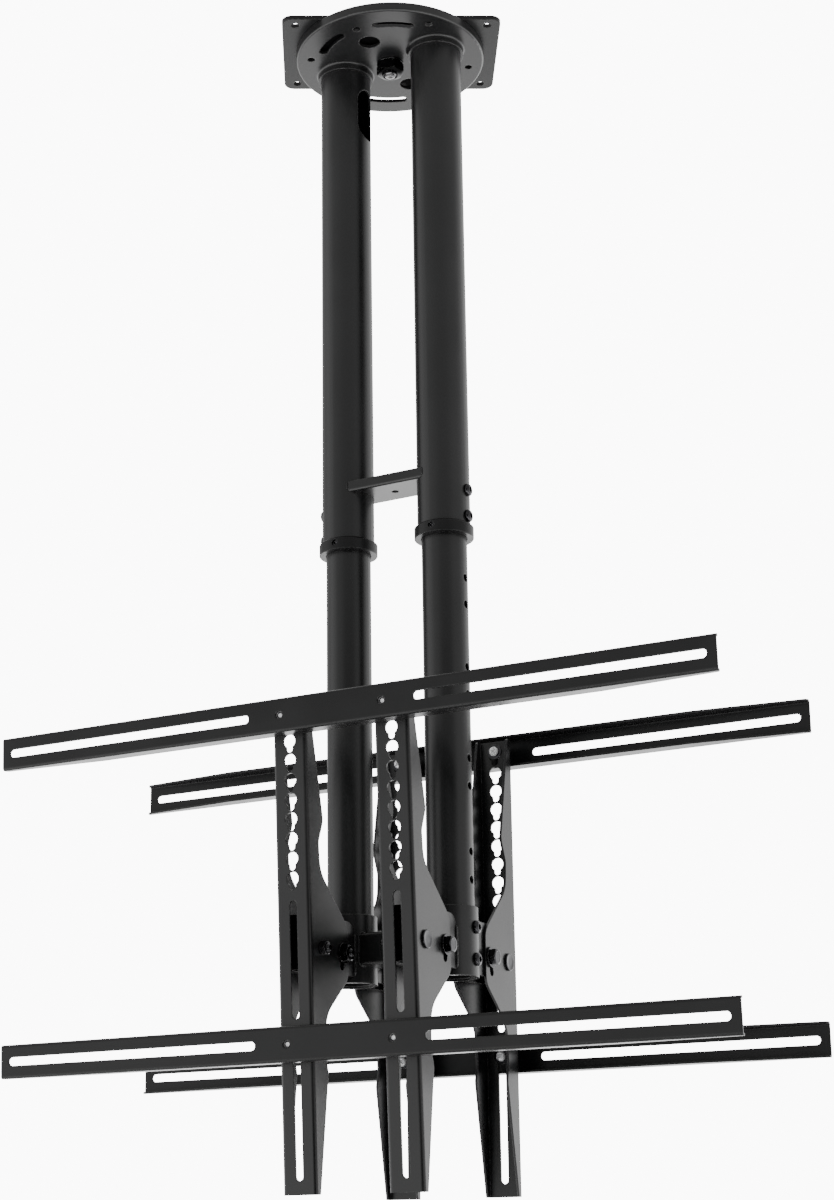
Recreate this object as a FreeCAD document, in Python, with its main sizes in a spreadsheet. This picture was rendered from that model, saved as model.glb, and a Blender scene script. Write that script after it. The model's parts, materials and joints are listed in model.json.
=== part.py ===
"""Twin pole ceiling mount for two screens, back to back.

A plate on the ceiling carries a swivel disc with two telescopic poles. A head on the
foot of each pole holds a fork to the front and one to the back, and each fork carries
an upright that tilts. Two slotted rails join the two uprights of each side.
Z points up, the ceiling is at zero, X runs along the rails and the front is -Y.
"""
import FreeCAD, Part
import math
import os
import Sketcher
from FreeCAD import Placement, Rotation, Vector

doc = FreeCAD.newDocument("tv_ceiling_mount")

# Driving sizes in millimetres and degrees
DIMENSIONS = (
    ("plate_length", 252, "ceiling plate, long side"),
    ("plate_depth", 151, "ceiling plate, short side"),
    ("plate_thick", 5, "ceiling plate, thickness"),
    ("plate_corner", 12, "ceiling plate, corner radius"),
    ("plate_turn", 29, "turn of the plate against the rails"),
    ("plate_hole", 4.6, "radius of the ceiling screw holes"),
    ("plate_hole_inset_x", 15.5, "hole centre to the short edge"),
    ("plate_hole_inset_y", 13, "hole centre to the long edge"),
    ("edge_break", 0.8, "small rounding on plate and sheet edges"),
    ("air", 0.3, "free gap between pieces that move past each other"),
    ("running_gap", 0.08, "radial play of a pin in its bearing hole"),
    ("disc_outer", 110.3, "swivel disc, outer radius"),
    ("disc_sheet", 4, "swivel disc, sheet thickness"),
    ("disc_height", 10.5, "swivel disc, height of the rim"),
    ("disc_rim", 2, "swivel disc, rounding of the rim"),
    ("collar_height", 8.4, "drawn collar round a pole"),
    ("collar_wall", 3.3, "wall of the drawn collar"),
    ("collar_fillet", 2.5, "rounding at the foot of the collar"),
    ("cable_hole", 12.1, "radius of the two cable holes"),
    ("cable_hole_out", 51.5, "cable hole centre from the swivel axis"),
    ("lock_slot_ring", 82, "radius of the ring of curved slots"),
    ("lock_slot_half", 5.2, "half width of a curved slot"),
    ("lock_slot_middle", 60, "angle of a slot middle from the X axis"),
    ("lock_slot_reach", 13.3, "angle from a slot middle to its end centre"),
    ("vent_hole", 4.4, "radius of the small holes in the disc"),
    ("vent_x", 77.3, "outer small holes, along X"),
    ("vent_y", 51.9, "outer small holes, along Y"),
    ("stud_radius", 7, "swivel stud"),
    ("stud_tail", 1.4, "stud end below its nut"),
    ("spacer_radius", 30, "bearing spacer above the disc floor"),
    ("stud_washer_radius", 15.5, "washer under the disc"),
    ("stud_washer_thick", 1.8, "washer under the disc, thickness"),
    ("stud_nut_across", 14, "swivel nut, half the width across flats"),
    ("stud_nut_height", 12.2, "swivel nut, height"),
    ("nut_collar_radius", 9.4, "locking collar of the swivel nut"),
    ("nut_collar_height", 2.4, "locking collar of the swivel nut, height"),
    ("pole_spacing", 119.3, "distance between the two poles"),
    ("outer_radius", 29.1, "outer pole, outside radius"),
    ("outer_wall", 2.5, "outer pole, wall"),
    ("outer_foot", 616.3, "lower end of the outer poles below the ceiling"),
    ("cable_slot_half", 15.5, "half width of the cable opening in a pole"),
    ("cable_slot_top", 44, "top of the cable opening below the ceiling"),
    ("cable_slot_bottom", 108, "bottom of the cable opening below the ceiling"),
    ("ring_radius", 32.6, "ring at the foot of an outer pole"),
    ("ring_height", 14.8, "height of that ring"),
    ("ring_lip", 3, "lip that closes the ring round the inner pole"),
    ("ring_slope", 2.5, "height of the sloping top of the ring"),
    ("set_screw_radius", 3.6, "set screw in the ring"),
    ("set_screw_drop", 7.2, "set screw below the top of the ring"),
    ("bar_depth", 52, "cross bar between the outer poles, front to back"),
    ("bar_sheet", 2.5, "cross bar, sheet"),
    ("bar_lip", 11.8, "cross bar, height of its lips"),
    ("bar_bend", 3, "cross bar, outer bend radius"),
    ("bar_underside", 552.4, "underside of the cross bar below the ceiling"),
    ("bar_hole", 4, "radius of the hole in the cross bar"),
    ("inner_radius", 24.9, "inner pole, outside radius"),
    ("inner_wall", 2.5, "inner pole, wall"),
    ("inner_top", 542, "top of the inner poles below the ceiling"),
    ("pin_top", 567, "upper height bolt below the ceiling"),
    ("pin_gap", 30, "distance between the two height bolts"),
    ("pin_pitch", 100.2, "step between pairs of height holes"),
    ("pin_pairs", 5, "number of hole pairs"),
    ("height_bolt_radius", 4, "height bolt, shank"),
    ("height_head_radius", 7, "height bolt, head"),
    ("height_head_high", 4.4, "height bolt, head height"),
    ("bush_height", 12, "guide bush at the top of an inner pole"),
    ("sleeve_radius", 28.5, "head sleeve, outside radius"),
    ("sleeve_top", 1025.8, "top of the head sleeve below the ceiling"),
    ("sleeve_height", 73.2, "head sleeve, height"),
    ("pole_short", 2, "foot of an inner pole above the foot of its sleeve"),
    ("sleeve_screw_gap", 33.3, "distance between the sleeve screws"),
    ("sleeve_screw_radius", 4, "sleeve screw, shank"),
    ("sleeve_head_radius", 7, "sleeve screw, head"),
    ("sleeve_head_high", 4.4, "sleeve screw, head height"),
    ("sleeve_screw_drop", 22.1, "upper sleeve screw below the top of its sleeve"),
    ("tie_height", 34.5, "tie tube between the heads, height"),
    ("tie_depth", 40, "tie tube between the heads, front to back"),
    ("tie_wall", 2.5, "tie tube, wall"),
    ("tie_corner", 4, "tie tube, corner radius"),
    ("tie_top", 1046, "top of the tie tube below the ceiling"),
    ("pivot_out", 98, "tilt pivot from the pole plane"),
    ("pivot_drop", 1072, "tilt pivot below the ceiling"),
    ("tilt_bolt_radius", 4, "tilt pivot bolt and lock bolt, shank"),
    ("front_lean", 2.8, "lean of the front frame, top outwards, degrees"),
    ("lock_reach", 45, "lock bolt from the pivot"),
    ("tilt_slot_half", 4.3, "half width of the tilt slot"),
    ("tilt_slot_up", 3, "tilt slot beyond the upright pose, degrees"),
    ("tilt_slot_down", 20, "tilt slot, degrees of screen tilt"),
    ("fork_sheet", 3, "fork, sheet"),
    ("fork_out", 106, "outer face of the fork web from the pole plane"),
    ("fork_top", 1036.4, "top of the fork below the ceiling"),
    ("fork_bottom", 1093, "bottom of the fork below the ceiling"),
    ("fork_shoulder", 18, "round shoulder of the fork ears"),
    ("fork_bend", 4, "fork, outer bend radius"),
    ("upright_out", 120.5, "outer face of an upright from the pole plane"),
    ("upright_width", 39, "upright, width"),
    ("upright_sheet", 2.5, "upright, sheet"),
    ("upright_bend", 4, "upright, outer bend radius"),
    ("upright_over", 11.5, "upright above the middle of the top rail"),
    ("upright_foot", 1317, "foot of the uprights below the ceiling"),
    ("top_flange", 10.5, "upright flange depth at the top"),
    ("bump_flange", 33, "upright flange depth at the bump"),
    ("waist_flange", 22.5, "upright flange depth at the upper waist"),
    ("belly_flange", 78.5, "upright flange depth round the pivot"),
    ("lower_waist_flange", 26.5, "upright flange depth below the belly"),
    ("lower_flange", 30.5, "upright flange depth behind the lower rail"),
    ("foot_flange", 8.5, "upright flange depth at the foot"),
    ("keyhole_head", 7.1, "keyhole, radius of its wide part"),
    ("keyhole_neck", 3.9, "keyhole, radius of its narrow part"),
    ("keyhole_fall", 8.1, "keyhole, wide centre to narrow centre"),
    ("keyhole_drop", 3.8, "first keyhole, wide centre below the top rail screws"),
    ("keyhole_pitch", 20.5, "step between keyholes"),
    ("keyhole_count", 9, "number of keyholes in an upright"),
    ("web_slot_half", 4.3, "half width of the long slots in an upright"),
    ("middle_slot_top", 1023.6, "middle slot, top below the ceiling"),
    ("middle_slot_bottom", 1144, "middle slot, bottom below the ceiling"),
    ("lower_slot_top", 1156.2, "lower slot, top below the ceiling"),
    ("lower_slot_bottom", 1303.2, "lower slot, bottom below the ceiling"),
    ("rail_length", 828, "rail, length"),
    ("rail_height", 36, "rail, height"),
    ("rail_depth", 20.5, "rail, depth between the poles and its ends"),
    ("rail_end_depth", 8, "rail, depth at its ends"),
    ("rail_full_reach", 290, "half length over which a rail has full depth"),
    ("rail_sheet", 2.2, "rail, sheet"),
    ("rail_bend", 3, "rail, outer bend radius"),
    ("rail_end_round", 4, "rounding of the flange ends"),
    ("rail_slot_half", 4.5, "half width of the screen slots"),
    ("rail_slot_inner", 96, "screen slot, inner end from the middle"),
    ("rail_slot_outer", 404, "screen slot, outer end from the middle"),
    ("top_rail_drop", 833.5, "middle of the top rail below the ceiling"),
    ("rail_gap", 336, "distance from the top rail to the bottom rail"),
    ("rail_screw_radius", 3, "rail screw, shank"),
    ("rail_screw_hole", 4.1, "hole in a rail over the end of its screw"),
    ("rail_screw_sink", 1.2, "end of a rail screw below the face of the rail"),
    ("rail_head_radius", 5.4, "rail screw, head"),
    ("rail_head_high", 3.8, "rail screw, head height"),
    ("rail_washer_radius", 8.6, "washer under a rail screw"),
    ("rail_washer_thick", 1.2, "washer under a rail screw, thickness"),
    ("rail_nut_across", 5, "rail nut, half the width across flats"),
    ("rail_nut_high", 5, "rail nut, height"),
    ("pivot_head_radius", 9.6, "pivot bolt, head"),
    ("pivot_head_high", 2.2, "pivot bolt, head height"),
    ("lock_head_across", 7.8, "lock bolt, half the width across flats"),
    ("lock_head_high", 6.6, "lock bolt, head height"),
    ("lock_washer_radius", 11, "lock washer"),
    ("lock_washer_thick", 2, "lock washer, thickness"),
    ("tilt_nut_high", 7, "nuts of the tilt bolts, height"),
    ("pivot_nut_across", 6.5, "pivot nut, half the width across flats"),
    ("bolt_tail", 3, "bolt end beyond its nut"),
)


class Size:
    """A size with its number and the sheet expression that drives it."""

    def __init__(self, text, number):
        self.text = text
        self.number = number

    def __add__(self, other):
        return Size("(%s + %s)" % (self.text, text_of(other)), self.number + number_of(other))

    def __radd__(self, other):
        return Size("(%s + %s)" % (text_of(other), self.text), number_of(other) + self.number)

    def __sub__(self, other):
        return Size("(%s - %s)" % (self.text, text_of(other)), self.number - number_of(other))

    def __rsub__(self, other):
        return Size("(%s - %s)" % (text_of(other), self.text), number_of(other) - self.number)

    def __mul__(self, other):
        return Size("(%s * %s)" % (self.text, text_of(other)), self.number * number_of(other))

    def __rmul__(self, other):
        return self * other

    def __truediv__(self, other):
        return Size("(%s / %s)" % (self.text, text_of(other)), self.number / number_of(other))

    def __neg__(self):
        return Size("(-1 * %s)" % self.text, -self.number)


def text_of(value):
    """The expression text of a size or a plain number."""
    return value.text if isinstance(value, Size) else "%.10g" % value


def number_of(value):
    """The number of a size or a plain number."""
    return value.number if isinstance(value, Size) else value


def cosine(angle):
    """Cosine of an angle in degrees."""
    return Size("cos(%s * 1 deg)" % text_of(angle), math.cos(math.radians(number_of(angle))))


def sine(angle):
    """Sine of an angle in degrees."""
    return Size("sin(%s * 1 deg)" % text_of(angle), math.sin(math.radians(number_of(angle))))


def make_sheet():
    """Write the driving sizes into a spreadsheet and return them as sizes."""
    sheet = doc.addObject("Spreadsheet::Sheet", "Dims")
    sizes = {}
    for row, (alias, number, note) in enumerate(DIMENSIONS, 1):
        sheet.set("A%d" % row, note)
        sheet.set("B%d" % row, "%.10g" % number)
        sheet.setAlias("B%d" % row, alias)
        sizes[alias] = Size("Dims." + alias, float(number))
    doc.recompute()
    return sizes


D = make_sheet()


def bind(thing, name, value):
    """Set a property and, for a size, let the sheet drive it."""
    if isinstance(value, Size):
        thing.setExpression(name, value.text)
        return
    owner = thing
    steps = name.split(".")
    if len(steps) == 1:
        setattr(owner, name, value)
    else:
        thing.setExpression(name, "%.10g" % value)


def place(thing, x=0, y=0, z=0, rotation=None):
    """Turn a piece and put it at a point whose coordinates follow the sheet."""
    spot = Vector(number_of(x), number_of(y), number_of(z))
    thing.Placement = Placement(spot, rotation or Rotation())
    for axis, value in (("x", x), ("y", y), ("z", z)):
        if isinstance(value, Size):
            thing.setExpression("Placement.Base." + axis, value.text)
    return thing


# Sketches

def add_sketch(body, name, plane, offset=0):
    """A sketch on one of the body's own origin planes, moved along the plane's normal."""
    sketch = body.newObject("Sketcher::SketchObject", name)
    support = [o for o in body.Origin.OriginFeatures if o.Role == plane][0]
    sketch.AttachmentSupport = [(support, "")]
    sketch.MapMode = "FlatFace"
    if number_of(offset):
        sketch.AttachmentOffset = Placement(Vector(0, 0, number_of(offset)), Rotation())
        bind(sketch, "AttachmentOffset.Base.z", offset)
    return sketch


def hold(sketch, kind, places, value):
    """Add a dimension to a sketch and drive it from the sheet."""
    index = sketch.addConstraint(Sketcher.Constraint(kind, *places, number_of(value)))
    if isinstance(value, Size):
        sketch.setExpression("Constraints[%d]" % index, value.text)


def pin_point(sketch, geometry, which, x, y):
    """Fix a point of a sketch at a distance from the sketch's origin."""
    hold(sketch, "DistanceX", (-1, 1, geometry, which), x)
    hold(sketch, "DistanceY", (-1, 1, geometry, which), y)


def circle(sketch, x, y, radius):
    """A circle with its centre and radius driven by sizes."""
    centre = Vector(number_of(x), number_of(y), 0)
    shape = Part.Circle(centre, Vector(0, 0, 1), number_of(radius))
    index = sketch.addGeometry(shape, False)
    pin_point(sketch, index, 3, x, y)
    hold(sketch, "Radius", (index,), radius)


def corner_arc(before, corner, after, radius):
    """The two tangent points, the centre and the turn of a rounded corner."""
    back = (before - corner).normalize()
    ahead = (after - corner).normalize()
    half = back.getAngle(ahead) / 2
    reach = radius / math.tan(half)
    middle = (back + ahead).normalize()
    centre = corner + middle * (radius / math.sin(half))
    left = (corner - before).cross(after - corner).z > 0
    return corner + back * reach, corner + ahead * reach, centre, left


def outline(sketch, corners):
    """A closed outline: each corner is x, y and, where it is rounded, a radius."""
    points = [Vector(number_of(c[0]), number_of(c[1]), 0) for c in corners]
    radii = [c[2] if len(c) > 2 else None for c in corners]
    total = len(corners)
    arcs = {}
    starts = list(points)
    ends = list(points)
    for i, radius in enumerate(radii):
        if radius is not None:
            arcs[i] = corner_arc(points[i - 1], points[i], points[(i + 1) % total], number_of(radius))
            ends[i], starts[i] = arcs[i][0], arcs[i][1]
    lines = []
    for i in range(total):
        segment = Part.LineSegment(starts[i], ends[(i + 1) % total])
        lines.append(sketch.addGeometry(segment, False))
    for i, corner in enumerate(corners):
        before, after = lines[i - 1], lines[i]
        if i not in arcs:
            sketch.addConstraint(Sketcher.Constraint("Coincident", before, 2, after, 1))
            pin_point(sketch, after, 1, corner[0], corner[1])
            continue
        first, last, centre, left = arcs[i]
        a, b = (first, last) if left else (last, first)
        ring = Part.Circle(centre, Vector(0, 0, 1), number_of(radii[i]))
        arc = Part.ArcOfCircle(ring, ring.parameter(a), ring.parameter(b))
        index = sketch.addGeometry(arc, False)
        tip = sketch.addGeometry(Part.Point(points[i]), True)
        near, far = (1, 2) if left else (2, 1)
        sketch.addConstraint(Sketcher.Constraint("Tangent", before, 2, index, near))
        sketch.addConstraint(Sketcher.Constraint("Tangent", index, far, after, 1))
        sketch.addConstraint(Sketcher.Constraint("PointOnObject", tip, 1, before))
        sketch.addConstraint(Sketcher.Constraint("PointOnObject", tip, 1, after))
        pin_point(sketch, tip, 1, corner[0], corner[1])
        hold(sketch, "Radius", (index,), radii[i])


def rectangle(sketch, x_low, x_high, y_low, y_high, radius=None):
    """A rectangle, with rounded corners if a radius is given."""
    corners = [(x_low, y_low), (x_high, y_low), (x_high, y_high), (x_low, y_high)]
    if radius is not None:
        corners = [(x, y, radius) for x, y in corners]
    outline(sketch, corners)


def slot(sketch, x_low, x_high, y_low, y_high, upright):
    """A round ended slot inside a box: its ends are half circles."""
    width = (x_high - x_low) if upright else (y_high - y_low)
    half = width / 2
    if upright:
        middle = (x_low + x_high) / 2
        ends = [(middle, y_low + half), (middle, y_high - half)]
        starts = [math.pi, 0.0]
    else:
        middle = (y_low + y_high) / 2
        ends = [(x_low + half, middle), (x_high - half, middle)]
        starts = [math.pi / 2, -math.pi / 2]
    arcs = []
    for (x, y), start in zip(ends, starts):
        centre = Vector(number_of(x), number_of(y), 0)
        ring = Part.Circle(centre, Vector(0, 0, 1), number_of(half))
        arcs.append(sketch.addGeometry(Part.ArcOfCircle(ring, start, start + math.pi), False))
    for near, far in (arcs, arcs[::-1]):
        a = sketch.getPoint(near, 2)
        b = sketch.getPoint(far, 1)
        line = sketch.addGeometry(Part.LineSegment(a, b), False)
        sketch.addConstraint(Sketcher.Constraint("Tangent", near, 2, line, 1))
        sketch.addConstraint(Sketcher.Constraint("Tangent", line, 2, far, 1))
    for index, (x, y) in zip(arcs, ends):
        pin_point(sketch, index, 3, x, y)
    hold(sketch, "Radius", (arcs[0],), half)


def curved_slot(sketch, ring, half, middle, reach, centre=(0, 0)):
    """A slot bent round a centre, from middle - reach to middle + reach degrees."""
    cx, cy = centre
    spot = Vector(number_of(cx), number_of(cy), 0)
    low = math.radians(number_of(middle - reach))
    high = math.radians(number_of(middle + reach))
    arcs = []
    for radius in (ring - half, ring + half):
        path = Part.Circle(spot, Vector(0, 0, 1), number_of(radius))
        arcs.append(sketch.addGeometry(Part.ArcOfCircle(path, low, high), False))
    caps = []
    for angle, start in ((middle - reach, low + math.pi), (middle + reach, high)):
        x = cx + ring * cosine(angle)
        y = cy + ring * sine(angle)
        cap = Part.Circle(Vector(number_of(x), number_of(y), 0), Vector(0, 0, 1), number_of(half))
        index = sketch.addGeometry(Part.ArcOfCircle(cap, start, start + math.pi), False)
        caps.append((index, x, y))
    low_cap, high_cap = caps[0][0], caps[1][0]
    joins = ((arcs[0], 1, low_cap, 1), (arcs[1], 1, low_cap, 2),
             (arcs[1], 2, high_cap, 1), (arcs[0], 2, high_cap, 2))
    for join in joins:
        sketch.addConstraint(Sketcher.Constraint("Tangent", *join))
    pin_point(sketch, arcs[0], 3, cx, cy)
    sketch.addConstraint(Sketcher.Constraint("Coincident", arcs[0], 3, arcs[1], 3))
    for index, radius in zip(arcs, (ring - half, ring + half)):
        hold(sketch, "Radius", (index,), radius)
    for index, x, y in caps:
        across = abs(number_of(y - cy)) < abs(number_of(x - cx))
        hold(sketch, "DistanceY" if across else "DistanceX", (-1, 1, index, 3), y if across else x)


# Features

def new_body(label):
    """A body whose label names its file."""
    body = doc.addObject("PartDesign::Body", label)
    body.Label = label
    return body


def pad(body, sketch, length, symmetric=False, reverse=False):
    """Extrude a sketch."""
    feature = body.newObject("PartDesign::Pad", sketch.Name + "_pad")
    feature.Profile = sketch
    feature.SideType = "Symmetric" if symmetric else "One side"
    feature.Reversed = reverse
    bind(feature, "Length", length)
    return feature


def pocket(body, sketch, length, symmetric=False, reverse=False):
    """Cut a sketch out of the body and check that it takes something away."""
    doc.recompute()
    before = body.Shape.Volume
    feature = body.newObject("PartDesign::Pocket", sketch.Name + "_cut")
    feature.Profile = sketch
    feature.SideType = "Symmetric" if symmetric else "One side"
    feature.Reversed = reverse
    bind(feature, "Length", length)
    doc.recompute()
    if body.Shape.Volume >= before:
        raise RuntimeError("%s cuts nothing" % feature.Name)
    return feature


def revolve(body, sketch):
    """Turn a sketch in the XZ plane round the Z axis."""
    feature = body.newObject("PartDesign::Revolution", sketch.Name + "_turn")
    feature.Profile = sketch
    feature.ReferenceAxis = (sketch, ["V_Axis"])
    feature.Angle = 360
    return feature


def edges_where(body, test):
    """Names of the edges whose middle point passes the test."""
    doc.recompute()
    names = []
    for index, edge in enumerate(body.Shape.Edges, 1):
        low, high = edge.ParameterRange
        middle = edge.valueAt((low + high) / 2)
        ends = edge.valueAt(high) - edge.valueAt(low)
        if test(middle, ends, edge):
            names.append("Edge%d" % index)
    return names


def fillet(body, radius, test):
    """Round the edges that pass the test."""
    names = edges_where(body, test)
    if not names:
        raise RuntimeError("%s has no edge to round" % body.Label)
    base = body.Tip
    feature = body.newObject("PartDesign::Fillet", body.Label + "_round")
    feature.Base = (base, names)
    bind(feature, "Radius", radius)
    doc.recompute()
    return feature


def repeat_down(body, features, sketch, pitch, count):
    """Repeat cuts downwards along the sketch's upright axis."""
    feature = body.newObject("PartDesign::LinearPattern", body.Label + "_row")
    feature.Originals = features
    feature.Direction = (sketch, ["V_Axis"])
    feature.Reversed = True
    bind(feature, "Length", pitch * (count - 1))
    bind(feature, "Occurrences", count)
    body.Tip = feature
    return feature


def near(value, goal, slack=0.02):
    """True when a number is at its goal."""
    return abs(value - number_of(goal)) < slack


def along(ends, axis):
    """True when an edge runs along one axis."""
    others = [abs(v) for i, v in enumerate(ends) if i != "xyz".index(axis)]
    return max(others) < 1e-6 < abs(ends["xyz".index(axis)])


# Plain solids for fasteners

def cylinder(name, radius, height, z=0):
    """An upright cylinder that starts at z."""
    solid = doc.addObject("Part::Cylinder", name)
    bind(solid, "Radius", radius)
    bind(solid, "Height", height)
    return place(solid, z=z)


def hexagon(name, across, height, z=0):
    """A six sided prism: across is half the width across flats."""
    solid = doc.addObject("Part::Prism", name)
    solid.Polygon = 6
    bind(solid, "Circumradius", across / math.cos(math.pi / 6))
    bind(solid, "Height", height)
    return place(solid, z=z)


def box(name, x_size, y_size, z_size, x=0, y=0, z=0):
    """A box with its low corner at a point."""
    solid = doc.addObject("Part::Box", name)
    bind(solid, "Length", x_size)
    bind(solid, "Width", y_size)
    bind(solid, "Height", z_size)
    return place(solid, x, y, z)


def joined(name, solids):
    """Fuse solids into one."""
    result = doc.addObject("Part::MultiFuse", name)
    result.Shapes = solids
    return result


def without(name, base, tool):
    """Cut one solid out of another."""
    result = doc.addObject("Part::Cut", name)
    result.Base = base
    result.Tool = tool
    return result


def softened(name, base, radius, height):
    """Round the outer edge of a head at the given height."""
    doc.recompute()
    found = []
    widest = max(e.BoundBox.XMax for e in base.Shape.Edges)
    for index, edge in enumerate(base.Shape.Edges, 1):
        flat = near(edge.BoundBox.ZMin, height) and near(edge.BoundBox.ZMax, height)
        if flat and near(edge.BoundBox.XMax, widest):
            found.append((index, radius, radius))
    result = doc.addObject("Part::Fillet", name)
    result.Base = base
    result.Edges = found
    return result


def group(label, solids):
    """Several equal pieces that share one file."""
    result = doc.addObject("Part::Compound", label)
    result.Links = solids
    result.Label = label
    return result


SOCKET_SHARE = 0.4
SOCKET_DEPTH = 0.6
SOFT_SHARE = 0.3
DOME_SHARE = 0.8


def round_bolt(name, shank_radius, shank, head_radius, head_high, soft_share=SOFT_SHARE):
    """A bolt with a plain round head: head above zero, shank below."""
    stem = cylinder(name + "_stem", shank_radius, shank, -shank)
    head = cylinder(name + "_head", head_radius, head_high)
    soft = softened(name + "_soft", head, number_of(head_high) * soft_share, head_high)
    return joined(name, [stem, soft])


def socket_bolt(name, shank_radius, shank, head_radius, head_high):
    """A domed bolt with a hexagon socket."""
    blank = round_bolt(name + "_blank", shank_radius, shank, head_radius, head_high, DOME_SHARE)
    deep = head_high * SOCKET_DEPTH
    key = hexagon(name + "_key", head_radius * SOCKET_SHARE, deep, head_high - deep)
    return without(name, blank, key)


def hex_bolt(name, shank_radius, shank, across, head_high):
    """A bolt with a hexagon head: head above zero, shank below."""
    stem = cylinder(name + "_stem", shank_radius, shank, -shank)
    return joined(name, [stem, hexagon(name + "_head", across, head_high)])


def cross_screw(name, shank_radius, shank, head_radius, head_high):
    """A pan head screw with a cross recess: head above zero, shank below."""
    stem = cylinder(name + "_stem", shank_radius, shank, -shank)
    head = cylinder(name + "_head", head_radius, head_high)
    soft = softened(name + "_soft", head, number_of(head_high) * SOFT_SHARE * 2, head_high)
    long_side = head_radius * 1.1
    short_side = head_radius * 0.24
    deep = head_high * SOCKET_DEPTH
    blades = []
    for tag, x_size, y_size in (("a", long_side, short_side), ("b", short_side, long_side)):
        blades.append(box(name + "_blade_" + tag, x_size, y_size, deep,
                          -x_size / 2, -y_size / 2, head_high - deep))
    blank = joined(name + "_blank", [stem, soft])
    return without(name, blank, joined(name + "_cross", blades))


def ring_of(name, outer, inner, height, z=0):
    """A plain washer."""
    return without(name, cylinder(name + "_disc", outer, height, z), cylinder(name + "_bore", inner, height, z))


def hex_nut(name, across, inner, height, z=0):
    """A hexagon nut."""
    return without(name, hexagon(name + "_hex", across, height, z), cylinder(name + "_bore", inner, height, z))


TO_X = Rotation(Vector(0, 1, 0), 90)
TO_MINUS_X = Rotation(Vector(0, 1, 0), -90)
TO_Y = Rotation(Vector(1, 0, 0), -90)
TO_MINUS_Y = Rotation(Vector(1, 0, 0), 90)
HALF_TURN = Rotation(Vector(0, 0, 1), 180)

# Places worked out from the driving sizes
FAR = 2000
POLE_X = D["pole_spacing"] / 2
DISC_TOP = -(D["plate_thick"] + D["air"])
DISC_UNDER = DISC_TOP - D["disc_height"]
DISC_FLOOR = DISC_UNDER + D["disc_sheet"]
STUD_WASHER_Z = DISC_UNDER - D["air"] - D["stud_washer_thick"]
STUD_NUT_Z = STUD_WASHER_Z - D["stud_nut_height"]
RING_FOOT = D["outer_foot"] + D["ring_lip"]
RING_TOP = RING_FOOT - D["ring_height"]
INNER_FOOT = D["sleeve_top"] + D["sleeve_height"] - D["pole_short"]
EAR_FACE = D["upright_width"] / 2 - D["upright_sheet"] - D["air"]
FLANGE_FACE = D["upright_width"] / 2
TILT_HEAD_X = FLANGE_FACE + D["air"]
LOCK_OUT = D["pivot_out"] - D["lock_reach"]
RAIL_FACE = D["upright_out"] + D["rail_depth"]
WEB_INSIDE = D["upright_out"] - D["upright_sheet"]
BOTTOM_RAIL_DROP = D["top_rail_drop"] + D["rail_gap"]
UPRIGHT_TOP = D["top_rail_drop"] - D["upright_over"]
SIDES = (("left", -1), ("right", 1))
FACES = (("front", -1), ("back", 1))


def place_in_frame(thing, face, x, y, z, rotation=None):
    """Put a piece of a tilting frame in place: the front frame leans about its pivots."""
    if face > 0:
        return place(thing, x, y, z, rotation)
    lean = D["front_lean"]
    out = y + D["pivot_out"]
    up = z + D["pivot_drop"]
    leaning_y = out * cosine(lean) - up * sine(lean) - D["pivot_out"]
    leaning_z = out * sine(lean) + up * cosine(lean) - D["pivot_drop"]
    turn = Rotation(Vector(1, 0, 0), lean.number).multiply(rotation or Rotation())
    return place(thing, x, leaning_y, leaning_z, turn)


def ceiling_plate():
    """Flat plate with rounded corners, four ceiling screw holes and the stud's hole."""
    body = new_body("ceiling_plate")
    face = add_sketch(body, "plate_face", "XY_Plane")
    half_x = D["plate_length"] / 2
    half_y = D["plate_depth"] / 2
    rectangle(face, -half_x, half_x, -half_y, half_y, D["plate_corner"])
    pad(body, face, D["plate_thick"], reverse=True)
    low = -D["plate_thick"]
    fillet(body, D["edge_break"], lambda m, e, edge: near(m.z, low))
    holes = add_sketch(body, "plate_holes", "XY_Plane")
    hole_x = half_x - D["plate_hole_inset_x"]
    hole_y = half_y - D["plate_hole_inset_y"]
    for x in (-hole_x, hole_x):
        for y in (-hole_y, hole_y):
            circle(holes, x, y, D["plate_hole"])
    circle(holes, 0, 0, D["stud_radius"])
    pocket(body, holes, FAR, symmetric=True)
    body.Placement = Placement(Vector(), Rotation(Vector(0, 0, 1), D["plate_turn"].number))
    bind(body, "Placement.Rotation.Angle", D["plate_turn"])
    return body


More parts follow.
